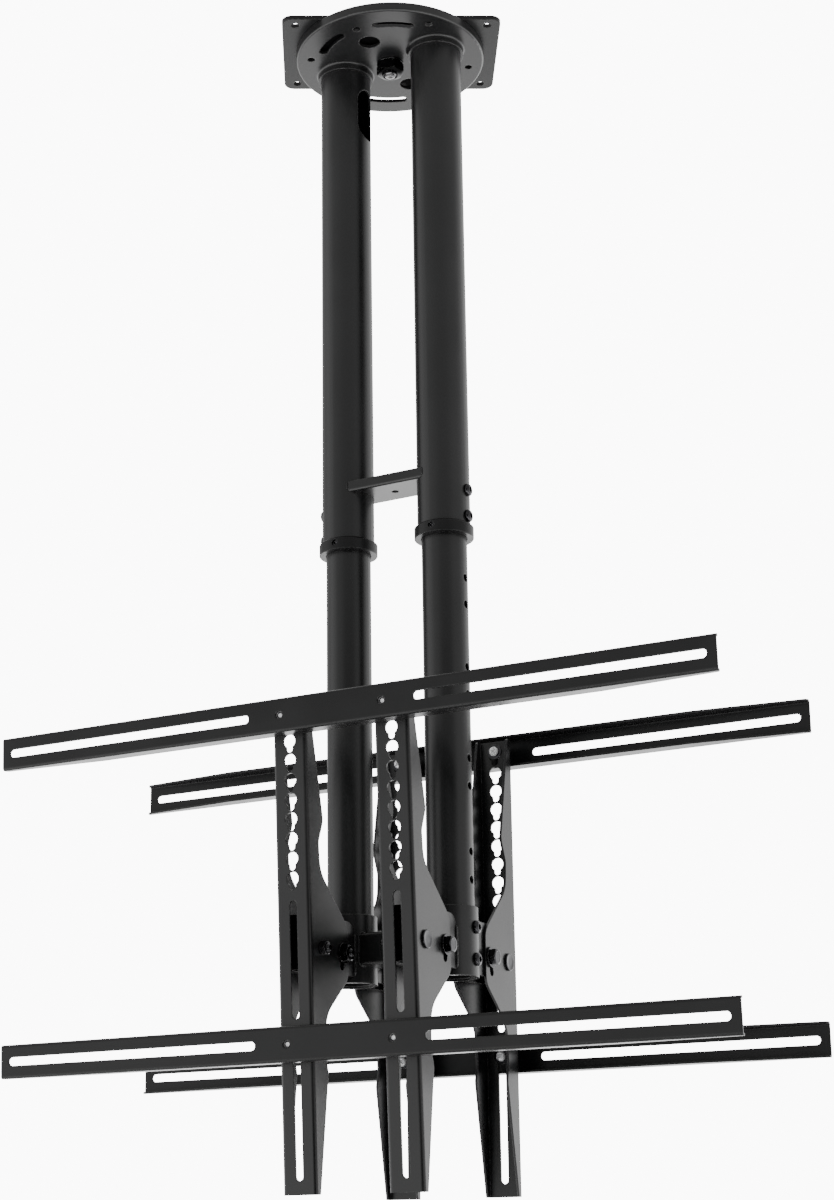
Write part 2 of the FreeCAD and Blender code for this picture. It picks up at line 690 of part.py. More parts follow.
def swivel_stack():
    """Stud, bearing spacer, washer and nut that carry the disc under the plate."""
    stud_length = D["stud_tail"] + D["nut_collar_height"] - STUD_NUT_Z
    stud = cylinder("pivot_stud_rod", D["stud_radius"], stud_length, -stud_length)
    chamfer = doc.addObject("Part::Chamfer", "pivot_stud")
    doc.recompute()
    rims = []
    for index, edge in enumerate(stud.Shape.Edges, 1):
        if near(edge.BoundBox.ZMax, -stud_length):
            rims.append((index, D["edge_break"].number * 1.5, D["edge_break"].number * 1.5))
    chamfer.Base = stud
    chamfer.Edges = rims
    chamfer.Label = "pivot_stud"
    spacer_high = D["disc_height"] - D["disc_sheet"]
    spacer = ring_of("pivot_spacer", D["spacer_radius"], D["stud_radius"], spacer_high, DISC_FLOOR + D["air"])
    washer = ring_of("pivot_washer", D["stud_washer_radius"], D["stud_radius"],
                     D["stud_washer_thick"], STUD_WASHER_Z)
    collar_high = D["nut_collar_height"]
    collar_foot = STUD_NUT_Z - collar_high
    blank = joined("pivot_nut_blank", [
        hexagon("pivot_nut_hex", D["stud_nut_across"], D["stud_nut_height"], STUD_NUT_Z),
        cylinder("pivot_nut_collar", D["nut_collar_radius"], collar_high, collar_foot)])
    bore = cylinder("pivot_nut_bore", D["stud_radius"], D["stud_nut_height"] + collar_high, collar_foot)
    nut = without("pivot_nut", blank, bore)
    return [chamfer, spacer, washer, nut]


def swivel_disc():
    """Dished disc with two drawn collars, cable holes, curved slots and small holes."""
    body = new_body("swivel_disc")
    section = add_sketch(body, "disc_section", "XZ_Plane")
    bore = D["stud_radius"] + D["running_gap"]
    inner_rim = D["disc_outer"] - D["disc_sheet"]
    outline(section, [
        (bore, DISC_UNDER), (D["disc_outer"], DISC_UNDER, D["disc_rim"]), (D["disc_outer"], DISC_TOP),
        (inner_rim, DISC_TOP), (inner_rim, DISC_FLOOR), (bore, DISC_FLOOR)])
    revolve(body, section)
    collars = add_sketch(body, "disc_collars", "XY_Plane", DISC_UNDER)
    collar_radius = D["outer_radius"] + D["collar_wall"]
    for x in (-POLE_X, POLE_X):
        circle(collars, x, 0, collar_radius)
    pad(body, collars, D["collar_height"], reverse=True)
    fillet(body, D["collar_fillet"], lambda m, e, edge: near(m.z, DISC_UNDER) and edge.Length > 1
           and near(math.hypot(abs(m.x) - POLE_X.number, m.y), collar_radius))
    holes = add_sketch(body, "disc_holes", "XY_Plane")
    for x in (-POLE_X, POLE_X):
        circle(holes, x, 0, D["outer_radius"])
    for side in (-1, 1):
        circle(holes, 0, D["cable_hole_out"] * side, D["cable_hole"])
        circle(holes, 0, D["lock_slot_ring"] * side, D["vent_hole"])
        for x in (-D["vent_x"], D["vent_x"]):
            circle(holes, x, D["vent_y"] * side, D["vent_hole"])
    pocket(body, holes, FAR, symmetric=True)
    slots = add_sketch(body, "disc_slots", "XY_Plane")
    for middle in (D["lock_slot_middle"], 180 - D["lock_slot_middle"],
                   180 + D["lock_slot_middle"], 360 - D["lock_slot_middle"]):
        curved_slot(slots, D["lock_slot_ring"], D["lock_slot_half"], middle, D["lock_slot_reach"])
    pocket(body, slots, FAR, symmetric=True)
    return body


def tube(body, name, outer, wall, top, foot):
    """A round tube between two levels below the ceiling."""
    section = add_sketch(body, name, "XY_Plane", -foot)
    circle(section, 0, 0, outer)
    circle(section, 0, 0, outer - wall)
    pad(body, section, foot - top)


def outer_pole(word, side):
    """Outer pole with its cable opening, height bolt holes and set screw hole."""
    body = new_body("outer_pole_" + word)
    tube(body, "outer_pole_ring_" + word, D["outer_radius"], D["outer_wall"], -DISC_FLOOR, D["outer_foot"])
    opening = add_sketch(body, "cable_opening_" + word, "YZ_Plane")
    half = D["cable_slot_half"]
    slot(opening, -half, half, -D["cable_slot_bottom"], -D["cable_slot_top"], upright=True)
    pocket(body, opening, D["outer_radius"] + 1, reverse=side < 0)
    holes = add_sketch(body, "bolt_holes_" + word, "YZ_Plane")
    for drop in (D["pin_top"], D["pin_top"] + D["pin_gap"]):
        circle(holes, 0, -drop, D["height_bolt_radius"])
    pocket(body, holes, D["outer_radius"] + 1, reverse=side > 0)
    screw = add_sketch(body, "set_hole_" + word, "XZ_Plane")
    circle(screw, 0, -(RING_TOP + D["set_screw_drop"]), D["set_screw_radius"])
    pocket(body, screw, D["outer_radius"] + 1, reverse=True)
    return place(body, POLE_X * side)


def foot_ring(word, side):
    """Ring that closes the foot of an outer pole round the inner pole."""
    body = new_body("foot_ring_" + word)
    section = add_sketch(body, "ring_section_" + word, "XZ_Plane")
    lip_bore = D["inner_radius"] + D["air"]
    outline(section, [
        (lip_bore, -RING_FOOT), (D["ring_radius"], -RING_FOOT, D["edge_break"]),
        (D["ring_radius"], -(RING_TOP + D["ring_slope"]), D["edge_break"]), (D["outer_radius"], -RING_TOP),
        (D["outer_radius"], -D["outer_foot"]), (lip_bore, -D["outer_foot"])])
    revolve(body, section)
    screw = add_sketch(body, "ring_hole_" + word, "XZ_Plane")
    circle(screw, 0, -(RING_TOP + D["set_screw_drop"]), D["set_screw_radius"])
    pocket(body, screw, D["ring_radius"] + 1, reverse=True)
    return place(body, POLE_X * side)


def set_screws():
    """A headless screw in the front of each ring, just clear of the inner pole."""
    tip = D["inner_radius"] + D["air"]
    length = D["ring_radius"] - tip - 0.4
    screws = []
    for word, side in SIDES:
        name = "set_screw_" + word
        rod = cylinder(name + "_rod", D["set_screw_radius"], length)
        deep = length * SOCKET_SHARE
        key = hexagon(name + "_key", D["set_screw_radius"] * SOCKET_SHARE, deep, length - deep)
        screw = without(name, rod, key)
        screws.append(place(screw, POLE_X * side, -tip, -(RING_TOP + D["set_screw_drop"]), TO_MINUS_Y))
    return group("ring_set_screws", screws)


def height_bolts():
    """Two bolts in the outer side of each outer pole, just clear of the inner pole."""
    shank = D["outer_radius"] - D["inner_radius"] - D["air"]
    bolts = []
    for word, side in SIDES:
        for row, drop in enumerate((D["pin_top"], D["pin_top"] + D["pin_gap"])):
            bolt = socket_bolt("height_bolt_%s_%d" % (word, row), D["height_bolt_radius"], shank,
                               D["height_head_radius"], D["height_head_high"])
            turn = TO_X if side > 0 else TO_MINUS_X
            bolts.append(place(bolt, (POLE_X + D["outer_radius"]) * side, 0, -drop, turn))
    return group("height_bolts", bolts)


def cross_bar():
    """Shallow channel between the outer poles, its ends fitted round them."""
    body = new_body("cross_bar")
    section = add_sketch(body, "bar_section", "YZ_Plane")
    half = D["bar_depth"] / 2
    inside = half - D["bar_sheet"]
    low = -D["bar_underside"]
    floor = low + D["bar_sheet"]
    high = low + D["bar_lip"]
    outline(section, [
        (-half, low, D["bar_bend"]), (half, low, D["bar_bend"]), (half, high), (inside, high),
        (inside, floor), (-inside, floor), (-inside, high), (-half, high)])
    pad(body, section, D["pole_spacing"], symmetric=True)
    holes = add_sketch(body, "bar_holes", "XY_Plane")
    circle(holes, 0, 0, D["bar_hole"])
    for x in (-POLE_X, POLE_X):
        circle(holes, x, 0, D["outer_radius"])
    pocket(body, holes, FAR, symmetric=True)
    return body


def inner_pole(word, side):
    """Inner pole with its pairs of height holes and the sleeve screw holes."""
    body = new_body("inner_pole_" + word)
    tube(body, "inner_pole_ring_" + word, D["inner_radius"], D["inner_wall"], D["inner_top"], INNER_FOOT)
    holes = add_sketch(body, "height_holes_" + word, "YZ_Plane")
    for drop in (D["pin_top"], D["pin_top"] + D["pin_gap"]):
        circle(holes, 0, -drop, D["height_bolt_radius"] + D["air"])
    cut = pocket(body, holes, D["inner_radius"] + 1, reverse=side > 0)
    repeat_down(body, [cut], holes, D["pin_pitch"], D["pin_pairs"])
    screws = add_sketch(body, "sleeve_holes_" + word, "YZ_Plane")
    for drop in sleeve_screw_drops():
        circle(screws, 0, -drop, D["sleeve_screw_radius"])
    pocket(body, screws, D["inner_radius"] + 1, reverse=side > 0)
    return place(body, POLE_X * side)


def sleeve_screw_drops():
    """Levels of the two sleeve screws below the ceiling."""
    upper = D["sleeve_top"] + D["sleeve_screw_drop"]
    return upper, upper + D["sleeve_screw_gap"]


def guide_bush(word, side):
    """Plastic bush round the top of an inner pole, running inside the outer pole."""
    reach = D["outer_radius"] - D["outer_wall"] - D["air"]
    bush = ring_of("guide_bush_" + word, reach, D["inner_radius"], D["bush_height"],
                   -D["inner_top"] - D["bush_height"])
    return place(bush, POLE_X * side)


def head_sleeve(word, side):
    """Sleeve clamped round the foot of an inner pole."""
    body = new_body("head_sleeve_" + word)
    foot = D["sleeve_top"] + D["sleeve_height"]
    wall = D["sleeve_radius"] - D["inner_radius"]
    tube(body, "sleeve_ring_" + word, D["sleeve_radius"], wall, D["sleeve_top"], foot)
    outer = D["sleeve_radius"]
    fillet(body, D["edge_break"], lambda m, e, edge: near(math.hypot(m.x, m.y), outer)
           and not along(e, "z") and edge.Length > 1)
    screws = add_sketch(body, "sleeve_cuts_" + word, "YZ_Plane")
    for drop in sleeve_screw_drops():
        circle(screws, 0, -drop, D["sleeve_screw_radius"])
    pocket(body, screws, D["sleeve_radius"] + 1, reverse=side > 0)
    return place(body, POLE_X * side)


def sleeve_screws():
    """Two socket screws in the outer side of each head sleeve."""
    shank = D["sleeve_radius"] - D["inner_radius"] + D["inner_wall"]
    screws = []
    for word, side in SIDES:
        for row, drop in enumerate(sleeve_screw_drops()):
            screw = socket_bolt("sleeve_screw_%s_%d" % (word, row), D["sleeve_screw_radius"], shank,
                                D["sleeve_head_radius"], D["sleeve_head_high"])
            turn = TO_X if side > 0 else TO_MINUS_X
            screws.append(place(screw, (POLE_X + D["sleeve_radius"]) * side, 0, -drop, turn))
    return group("sleeve_screws", screws)


def head_tie():
    """Rectangular tube between the two head sleeves, its ends fitted round them."""
    body = new_body("head_tie")
    section = add_sketch(body, "tie_section", "YZ_Plane")
    half = D["tie_depth"] / 2
    high = -D["tie_top"]
    low = high - D["tie_height"]
    wall = D["tie_wall"]
    rectangle(section, -half, half, low, high, D["tie_corner"])
    rectangle(section, wall - half, half - wall, low + wall, high - wall, D["tie_corner"] - wall)
    pad(body, section, D["pole_spacing"], symmetric=True)
    seats = add_sketch(body, "tie_seats", "XY_Plane")
    for x in (-POLE_X, POLE_X):
        circle(seats, x, 0, D["sleeve_radius"])
    pocket(body, seats, FAR * 2, symmetric=True)
    return body


def fork(word_face, face, word, side):
    """U shaped fork: a web behind the upright and two ears welded to the sleeve."""
    label = "fork_%s_%s" % (word_face, word)
    body = new_body(label)
    section = add_sketch(body, label + "_side", "YZ_Plane")
    root = -D["sleeve_radius"] * 0.7
    out = -D["fork_out"]
    outline(section, [
        (out, -D["fork_bottom"]), (root, -D["fork_bottom"], D["edge_break"] * 3),
        (root, -D["fork_top"], D["fork_shoulder"]), (out, -D["fork_top"])])
    pad(body, section, EAR_FACE * 2, symmetric=True)
    fillet(body, D["fork_bend"], lambda m, e, edge: near(m.y, out) and along(e, "z"))
    inside = add_sketch(body, label + "_inside", "YZ_Plane")
    rectangle(inside, out + D["fork_sheet"], 0, -D["fork_bottom"] - 1, -D["fork_top"] + 1)
    pocket(body, inside, (EAR_FACE - D["fork_sheet"]) * 2, symmetric=True)
    seat = add_sketch(body, label + "_seat", "XY_Plane")
    circle(seat, 0, 0, D["sleeve_radius"])
    pocket(body, seat, FAR * 2, symmetric=True)
    holes = add_sketch(body, label + "_holes", "YZ_Plane")
    for y in (-D["pivot_out"], -LOCK_OUT):
        circle(holes, y, -D["pivot_drop"], D["tilt_bolt_radius"])
    pocket(body, holes, FAR, symmetric=True)
    return place(body, POLE_X * side, 0, 0, HALF_TURN if face > 0 else None)


def upright_outline():
    """Corners of an upright's flange, seen from its side: Y, Z and a radius."""
    out = -D["upright_out"]
    pivot = -D["pivot_drop"]
    depth = {word: out + D[word + "_flange"]
             for word in ("top", "bump", "waist", "belly", "lower_waist", "lower", "foot")}
    lower_rail = -BOTTOM_RAIL_DROP - D["rail_height"] / 2
    return [
        (out, -D["upright_foot"]),
        (depth["foot"], -D["upright_foot"], 2),
        (depth["lower"], lower_rail - 10, 10),
        (depth["lower_waist"], lower_rail + 6, 16),
        (depth["lower_waist"] + 2, pivot - 68, 34),
        (depth["belly"], pivot - 28, 18),
        (depth["belly"], pivot + 27, 20),
        (depth["waist"] + 1.5, pivot + 79, 32),
        (depth["waist"], pivot + 110, 14),
        (depth["bump"], pivot + 133, 16),
        (depth["top"], -UPRIGHT_TOP, 3),
        (out, -UPRIGHT_TOP)]


def upright(word_face, face, word, side):
    """Upright channel with keyholes and long slots in its web and a tilt slot in its flanges."""
    label = "upright_%s_%s" % (word_face, word)
    body = new_body(label)
    section = add_sketch(body, label + "_side", "YZ_Plane")
    outline(section, upright_outline())
    pad(body, section, D["upright_width"], symmetric=True)
    out = -D["upright_out"]
    fillet(body, D["upright_bend"], lambda m, e, edge: near(m.y, out) and along(e, "z"))
    inside = add_sketch(body, label + "_inside", "YZ_Plane")
    rectangle(inside, out + D["upright_sheet"], 0, -D["upright_foot"] - 1, -UPRIGHT_TOP + 1)
    pocket(body, inside, D["upright_width"] - D["upright_sheet"] * 2, symmetric=True)
    pivots = add_sketch(body, label + "_pivots", "YZ_Plane")
    circle(pivots, -D["pivot_out"], -D["pivot_drop"], D["tilt_bolt_radius"] + D["running_gap"])
    middle = (D["tilt_slot_up"] - D["tilt_slot_down"]) / 2
    reach = (D["tilt_slot_up"] + D["tilt_slot_down"]) / 2
    pivot = (-D["pivot_out"], -D["pivot_drop"])
    curved_slot(pivots, D["lock_reach"], D["tilt_slot_half"], middle, reach, pivot)
    pocket(body, pivots, FAR, symmetric=True)
    slots = add_sketch(body, label + "_slots", "XZ_Plane")
    half = D["web_slot_half"]
    slot(slots, -half, half, -D["middle_slot_bottom"], -D["middle_slot_top"], upright=True)
    slot(slots, -half, half, -D["lower_slot_bottom"], -D["lower_slot_top"], upright=True)
    pocket(body, slots, FAR, symmetric=True)
    heads = add_sketch(body, label + "_heads", "XZ_Plane")
    first = -D["top_rail_drop"] - D["keyhole_drop"]
    circle(heads, 0, first, D["keyhole_head"])
    head_cut = pocket(body, heads, FAR, symmetric=True)
    necks = add_sketch(body, label + "_necks", "XZ_Plane")
    neck = D["keyhole_neck"]
    slot(necks, -neck, neck, first - D["keyhole_fall"] - neck, first + neck, upright=True)
    neck_cut = pocket(body, necks, FAR, symmetric=True)
    repeat_down(body, [head_cut, neck_cut], heads, D["keyhole_pitch"], D["keyhole_count"])
    return place_in_frame(body, face, POLE_X * side, 0, 0, HALF_TURN if face > 0 else None)


def rail(word_face, face, word, drop):
    """Slotted channel rail whose flanges taper towards its ends."""
    label = "rail_%s_%s" % (word_face, word)
    body = new_body(label)
    section = add_sketch(body, label + "_section", "YZ_Plane")
    out = -RAIL_FACE
    tip = -D["upright_out"]
    skin = out + D["rail_sheet"]
    half = D["rail_height"] / 2
    inside = half - D["rail_sheet"]
    inner_bend = D["rail_bend"] - D["rail_sheet"]
    outline(section, [
        (tip, -half), (tip, -inside), (skin, -inside, inner_bend), (skin, inside, inner_bend),
        (tip, inside), (tip, half), (out, half, D["rail_bend"]), (out, -half, D["rail_bend"])])
    half_length = D["rail_length"] / 2
    pad(body, section, D["rail_length"], symmetric=True)
    taper = add_sketch(body, label + "_taper", "XY_Plane")
    end_tip = out + D["rail_end_depth"]
    run = half_length - D["rail_full_reach"]
    beyond = end_tip - (D["rail_depth"] - D["rail_end_depth"]) / run
    for sign in (-1, 1):
        start = (D["rail_full_reach"] * sign, tip)
        far_out = ((half_length + 1) * sign, tip)
        far_in = ((half_length + 1) * sign, beyond)
        outline(taper, [start, far_in, far_out] if sign > 0 else [start, far_out, far_in])
    pocket(body, taper, D["rail_height"] * 2, symmetric=True)
    fillet(body, D["rail_end_round"], lambda m, e, edge: along(e, "z")
           and near(abs(m.x), half_length) and near(m.y, end_tip))
    slots = add_sketch(body, label + "_slots", "XZ_Plane")
    high = D["rail_slot_half"]
    slot(slots, D["rail_slot_inner"], D["rail_slot_outer"], -high, high, upright=False)
    slot(slots, -D["rail_slot_outer"], -D["rail_slot_inner"], -high, high, upright=False)
    for x in (-POLE_X, POLE_X):
        circle(slots, x, 0, D["rail_screw_hole"])
    pocket(body, slots, FAR, symmetric=True)
    return place_in_frame(body, face, 0, 0, -drop, HALF_TURN if face > 0 else None)


def rail_fasteners(word_face, face):
    """Screws, washers and nuts that hold the two rails of one face to its uprights."""
    screws = []
    washers = []
    nuts = []
    seat = WEB_INSIDE - D["rail_washer_thick"]
    shank = RAIL_FACE - seat - D["rail_screw_sink"]
    inward = TO_MINUS_Y if face > 0 else TO_Y
    outward = TO_Y if face > 0 else TO_MINUS_Y
    nut_out = RAIL_FACE - D["rail_sheet"] - D["rail_nut_high"]
    for word, side in SIDES:
        for row, drop in (("top", D["top_rail_drop"]), ("bottom", BOTTOM_RAIL_DROP)):
            tag = "_%s_%s_%s" % (word_face, word, row)
            screw = cross_screw("rail_screw" + tag, D["rail_screw_radius"], shank,
                                D["rail_head_radius"], D["rail_head_high"])
            screws.append(place_in_frame(screw, face, POLE_X * side, seat * face, -drop, inward))
            washer = ring_of("rail_washer" + tag, D["rail_washer_radius"], D["rail_screw_radius"],
                             D["rail_washer_thick"])
            washers.append(place_in_frame(washer, face, POLE_X * side, seat * face, -drop, outward))
            nut = hex_nut("rail_nut" + tag, D["rail_nut_across"], D["rail_screw_radius"], D["rail_nut_high"])
            nuts.append(place_in_frame(nut, face, POLE_X * side, nut_out * face, -drop, outward))
    return [group("rail_screws_" + word_face, screws), group("rail_washers_" + word_face, washers),
            group("rail_nuts_" + word_face, nuts)]


def tilt_fasteners(word_face, face):
    """Pivot bolts and lock bolts of one face, with their washers and nuts."""
    pivots = []
    pivot_nuts = []
    locks = []
    lock_washers = []
    lock_nuts = []
    grip = TILT_HEAD_X * 2
    lock_grip = grip + D["lock_washer_thick"] * 2
    for word, side in SIDES:
        tag = "_%s_%s" % (word_face, word)
        turn = TO_X if side > 0 else TO_MINUS_X
        head_x = (POLE_X + TILT_HEAD_X) * side
        nut_x = (POLE_X - TILT_HEAD_X) * side
        pivot_y = D["pivot_out"] * face
        lock_y = LOCK_OUT * face
        z = -D["pivot_drop"]
        tail = D["tilt_nut_high"] + D["bolt_tail"]
        pivot = round_bolt("pivot_bolt" + tag, D["tilt_bolt_radius"], grip + tail,
                           D["pivot_head_radius"], D["pivot_head_high"])
        pivots.append(place(pivot, head_x, pivot_y, z, turn))
        nut = hex_nut("pivot_bolt_nut" + tag, D["pivot_nut_across"], D["tilt_bolt_radius"],
                      D["tilt_nut_high"], -D["tilt_nut_high"])
        pivot_nuts.append(place(nut, nut_x, pivot_y, z, turn))
        lock = hex_bolt("lock_bolt" + tag, D["tilt_bolt_radius"], lock_grip + tail,
                        D["lock_head_across"], D["lock_head_high"])
        lock_x = head_x + D["lock_washer_thick"] * side
        locks.append(place(lock, lock_x, lock_y, z, turn))
        for end, x, low in (("head", head_x, 0), ("nut", nut_x, -D["lock_washer_thick"])):
            washer = ring_of("lock_washer_%s%s" % (end, tag), D["lock_washer_radius"],
                             D["tilt_bolt_radius"], D["lock_washer_thick"], low)
            lock_washers.append(place(washer, x, lock_y, z, turn))
        nut = hex_nut("lock_bolt_nut" + tag, D["lock_head_across"], D["tilt_bolt_radius"],
                      D["tilt_nut_high"], -D["tilt_nut_high"] - D["lock_washer_thick"])
        lock_nuts.append(place(nut, nut_x, lock_y, z, turn))
    return [group("pivot_bolts_" + word_face, pivots), group("pivot_bolt_nuts_" + word_face, pivot_nuts),
            group("lock_bolts_" + word_face, locks), group("lock_washers_" + word_face, lock_washers),
            group("lock_bolt_nuts_" + word_face, lock_nuts)]


def build_all():
    """Make every piece and return the list of them."""
    pieces = [ceiling_plate(), swivel_disc(), cross_bar(), set_screws(), height_bolts(), sleeve_screws()]
    pieces += swivel_stack()
    for word, side in SIDES:
        pieces += [outer_pole(word, side), foot_ring(word, side), inner_pole(word, side),
                   guide_bush(word, side), head_sleeve(word, side)]
    pieces.append(head_tie())
    for word_face, face in FACES:
        for word, side in SIDES:
            pieces += [fork(word_face, face, word, side), upright(word_face, face, word, side)]
        for row, drop in (("top", D["top_rail_drop"]), ("bottom", BOTTOM_RAIL_DROP)):
            pieces.append(rail(word_face, face, row, drop))
        pieces += rail_fasteners(word_face, face)
        pieces += tilt_fasteners(word_face, face)
    return pieces


def write_all(pieces):
    """Check every object, then write one file for each piece."""
    doc.recompute()
    for thing in doc.Objects:
        if "Invalid" in thing.State or "Error" in thing.State:
            raise RuntimeError("%s failed: %s" % (thing.Name, thing.State))
    for piece in pieces:
        if piece.Shape.isNull() or not piece.Shape.isValid():
            raise RuntimeError("%s has no valid shape" % piece.Label)
    os.makedirs("parts", exist_ok=True)
    for piece in pieces:
        piece.Shape.exportStep("parts/%s.step" % piece.Label)
    print("%d pieces written" % len(pieces))


write_all(build_all())
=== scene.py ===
"""Looks of a twin pole ceiling mount: powder coat, fasteners, welds, studio and camera."""
import json
import math
import bmesh
import bpy
from mathutils import Matrix, Vector

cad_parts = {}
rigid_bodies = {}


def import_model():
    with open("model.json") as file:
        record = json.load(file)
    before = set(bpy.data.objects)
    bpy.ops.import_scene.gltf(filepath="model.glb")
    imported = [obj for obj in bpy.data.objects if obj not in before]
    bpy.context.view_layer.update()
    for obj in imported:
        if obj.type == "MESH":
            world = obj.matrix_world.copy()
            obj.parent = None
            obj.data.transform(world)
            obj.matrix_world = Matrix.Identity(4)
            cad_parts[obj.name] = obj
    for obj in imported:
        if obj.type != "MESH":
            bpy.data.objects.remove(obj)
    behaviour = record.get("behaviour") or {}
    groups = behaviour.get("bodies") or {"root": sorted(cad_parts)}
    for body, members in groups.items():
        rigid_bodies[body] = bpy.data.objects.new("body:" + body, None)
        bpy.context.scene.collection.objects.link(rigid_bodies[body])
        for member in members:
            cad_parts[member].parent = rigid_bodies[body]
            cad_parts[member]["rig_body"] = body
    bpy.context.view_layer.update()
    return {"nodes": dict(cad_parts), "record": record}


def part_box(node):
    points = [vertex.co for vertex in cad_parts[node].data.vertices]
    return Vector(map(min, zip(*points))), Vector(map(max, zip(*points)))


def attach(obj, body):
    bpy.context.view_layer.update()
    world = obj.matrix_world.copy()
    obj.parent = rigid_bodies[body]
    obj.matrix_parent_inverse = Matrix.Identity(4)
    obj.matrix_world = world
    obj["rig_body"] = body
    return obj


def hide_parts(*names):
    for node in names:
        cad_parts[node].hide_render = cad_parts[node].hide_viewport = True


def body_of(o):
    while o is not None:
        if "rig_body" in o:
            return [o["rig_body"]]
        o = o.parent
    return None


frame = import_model()
NODES = frame["nodes"]
MM = 0.001

# Camera, as the photograph was taken: low, and looking up at the mount
IMAGE_WIDTH = 834.0
IMAGE_HEIGHT = 1200.0
FOCAL_PIXELS = 2135.89
CENTRE_X = 368.977
CENTRE_Y = 693.815
AZIMUTH = math.radians(28.148)
PITCH = math.radians(15.047)
ROLL = math.radians(-0.48)
EYE = Vector((1.029426, -1.989979, -1.387817))
SENSOR = 36.0
NEAREST, FARTHEST = 0.05, 60

# Studio: a bright backdrop behind the mount, and a dim room in front of it.
# The first four are directions from the mount. Each step has two levels, then the share of light
# at each of them, which is 0 and 1 where it isn't given.
BACKDROP_WAY = (-0.46, 0.888, 0.0)
CAMERA_SIDE = (0.472, -0.882, 0.0)
LEFT_PANEL = (-0.85, -0.51, 0.12)
PLAIN_LEFT = (-0.92, 0.26, 0.28)
BEHIND_STEP = (-0.15, 0.45)
BACKDROP_FOOT = (-0.66, -0.36, 0.6, 4.4)
BACKDROP_TOP = (-0.12, 0.3, 1.0, 0.42)
BACKDROP_LEFT = (0.8, 0.97, 1.0, 0.4)
ROOM_TOP = (-0.1, 0.2, 1.9, 0.95)
ROOM_FOOT = (-0.6, -0.36, 2.8, 1.0)
CAMERA_STEP = (0.78, 0.93)
UNLIT_FOOT = (0.19, 0.3, 0.03, 1.0)
PANEL_STEP = (0.86, 0.99, 1.0, 1.6)
SEEN_BACKGROUND = 13.0

# Floor, in metres: its level, and the distances between which it fades out
FLOOR_LEVEL = -2.35
FLOOR_FULL = 0.7
FLOOR_END = 2.6
FLOOR_COLOUR = (0.9, 0.9, 0.9, 1)
FLOOR_ROUGHNESS = 0.6

# Colours of the finishes: the dark and the pale parts of their clouds, and their edges, paler partly where
# the finish is rubbed thin and partly as a painted highlight
COAT_DARK = (0.0035, 0.0035, 0.0037, 1)
COAT_PALE = (0.0065, 0.0065, 0.0068, 1)
COAT_RUBBED_AND_HIGHLIT = (0.15, 0.15, 0.152, 1)
OXIDE_DARK = (0.032, 0.032, 0.034, 1)
OXIDE_PALE = (0.055, 0.055, 0.058, 1)
OXIDE_RUBBED_AND_HIGHLIT = (0.34, 0.335, 0.33, 1)
DEEP_OXIDE_DARK = (0.006, 0.006, 0.0064, 1)
DEEP_OXIDE_PALE = (0.012, 0.012, 0.0125, 1)
DEEP_OXIDE_RUBBED_AND_HIGHLIT = (0.12, 0.12, 0.118, 1)
ZINC_DARK = (0.8, 0.81, 0.83, 1)
ZINC_PALE = (0.95, 0.945, 0.93, 1)
DULL_ZINC_DARK = (0.17, 0.17, 0.18, 1)
DULL_ZINC_PALE = (0.28, 0.275, 0.27, 1)
NYLON_DARK = (0.012, 0.012, 0.012, 1)
NYLON_PALE = (0.02, 0.02, 0.02, 1)

# Roughness of the finishes: in the dark and the pale parts of their clouds, and on rubbed edges
COAT_ROUGHNESS = (0.28, 0.35)
PLATE_ROUGHNESS = (0.3, 0.37)
RAIL_ROUGHNESS = (0.27, 0.34)
OXIDE_ROUGHNESS = (0.1, 0.18)
ZINC_ROUGHNESS = (0.26, 0.42)
NYLON_ROUGHNESS = (0.42, 0.55)
RUBBED_ROUGHNESS = 0.28

# Texture of the finishes: how much of the fine grain shows, where clouds begin and end, where an edge turns
# enough to be rubbed and to carry a painted highlight, how both are broken up, and how strongly they show
GRAIN_SHARE = 0.6
CLOUD_STEP = (0.3, 0.7)
EDGE_STEP = (0.98, 0.75)
BREAK_SCALE = 260.0
BREAK_STEP = (0.42, 0.66)
COAT_WEAR_AND_HIGHLIGHT, COAT_POLISH, OXIDE_WEAR_AND_HIGHLIGHT = 0.55, 0.5, 0.7

# Relief of the finishes: its strength, and its height in metres
COAT_RELIEF = (0.5, 0.00004)
METAL_RELIEF = (0.2, 0.00001)
NYLON_RELIEF = (0.3, 0.00005)

# Fasteners, as on the solids: points in a ring, angles, shares of a radius or a pitch, sizes in
# millimetres, and the ways along which heights are measured where that isn't outwards along X
TURN = 96
SHARP = math.radians(32)
FACE_SHARE = 0.95
CORNER_SLOPE = math.radians(30)
THREAD_COLUMNS = 36
THREAD_DEPTH = 0.55
THREAD_SHAPE = ((0.0, 0.0), (0.12, 0.0), (0.5, 1.0), (0.62, 1.0))
THREAD_END = 14.0
BOLT_PITCH, BOLT_TIP = 1.25, 0.7
STUD_PITCH = 1.5
SCREW_PITCH, SCREW_TIP = 1.0, 0.8
WASHER_FACE = 0.3
NUT_SINK, NUT_FLARE = 0.9, 0.7
BUTTON_RADIUS, BUTTON_HEIGHT, BUTTON_SHANK = 7.0, 4.4, 4.0
PIVOT_HEAD_RADIUS, PIVOT_HEAD_HEIGHT = 9.6, 2.2
HEXAGON_ACROSS, HEXAGON_HEIGHT, PIVOT_NUT_ACROSS = 7.8, 6.6, 6.5
TILT_SHANK = 4.0
SWIVEL_NUT_ACROSS, SWIVEL_COLLAR, SWIVEL_COLLAR_HEIGHT = 14.0, 9.4, 2.4
STUD_RADIUS, STUD_THREAD, STUD_TIP = 7.0, 12, 0.9
RAIL_HEAD_RADIUS, RAIL_HEAD_HEIGHT, RAIL_SHANK, RAIL_NUT_ACROSS = 5.4, 3.8, 3.0, 5.0
RAIL_TIP_SINK = 2.0
SET_SCREW_RADIUS = 3.6
SET_SCREW_SINK = 1.8
FRONT_LEAN = math.radians(2.8)
DOWN = Vector((0, 0, -1))
SET_SCREW_WAY = Vector((0, -1, 0))
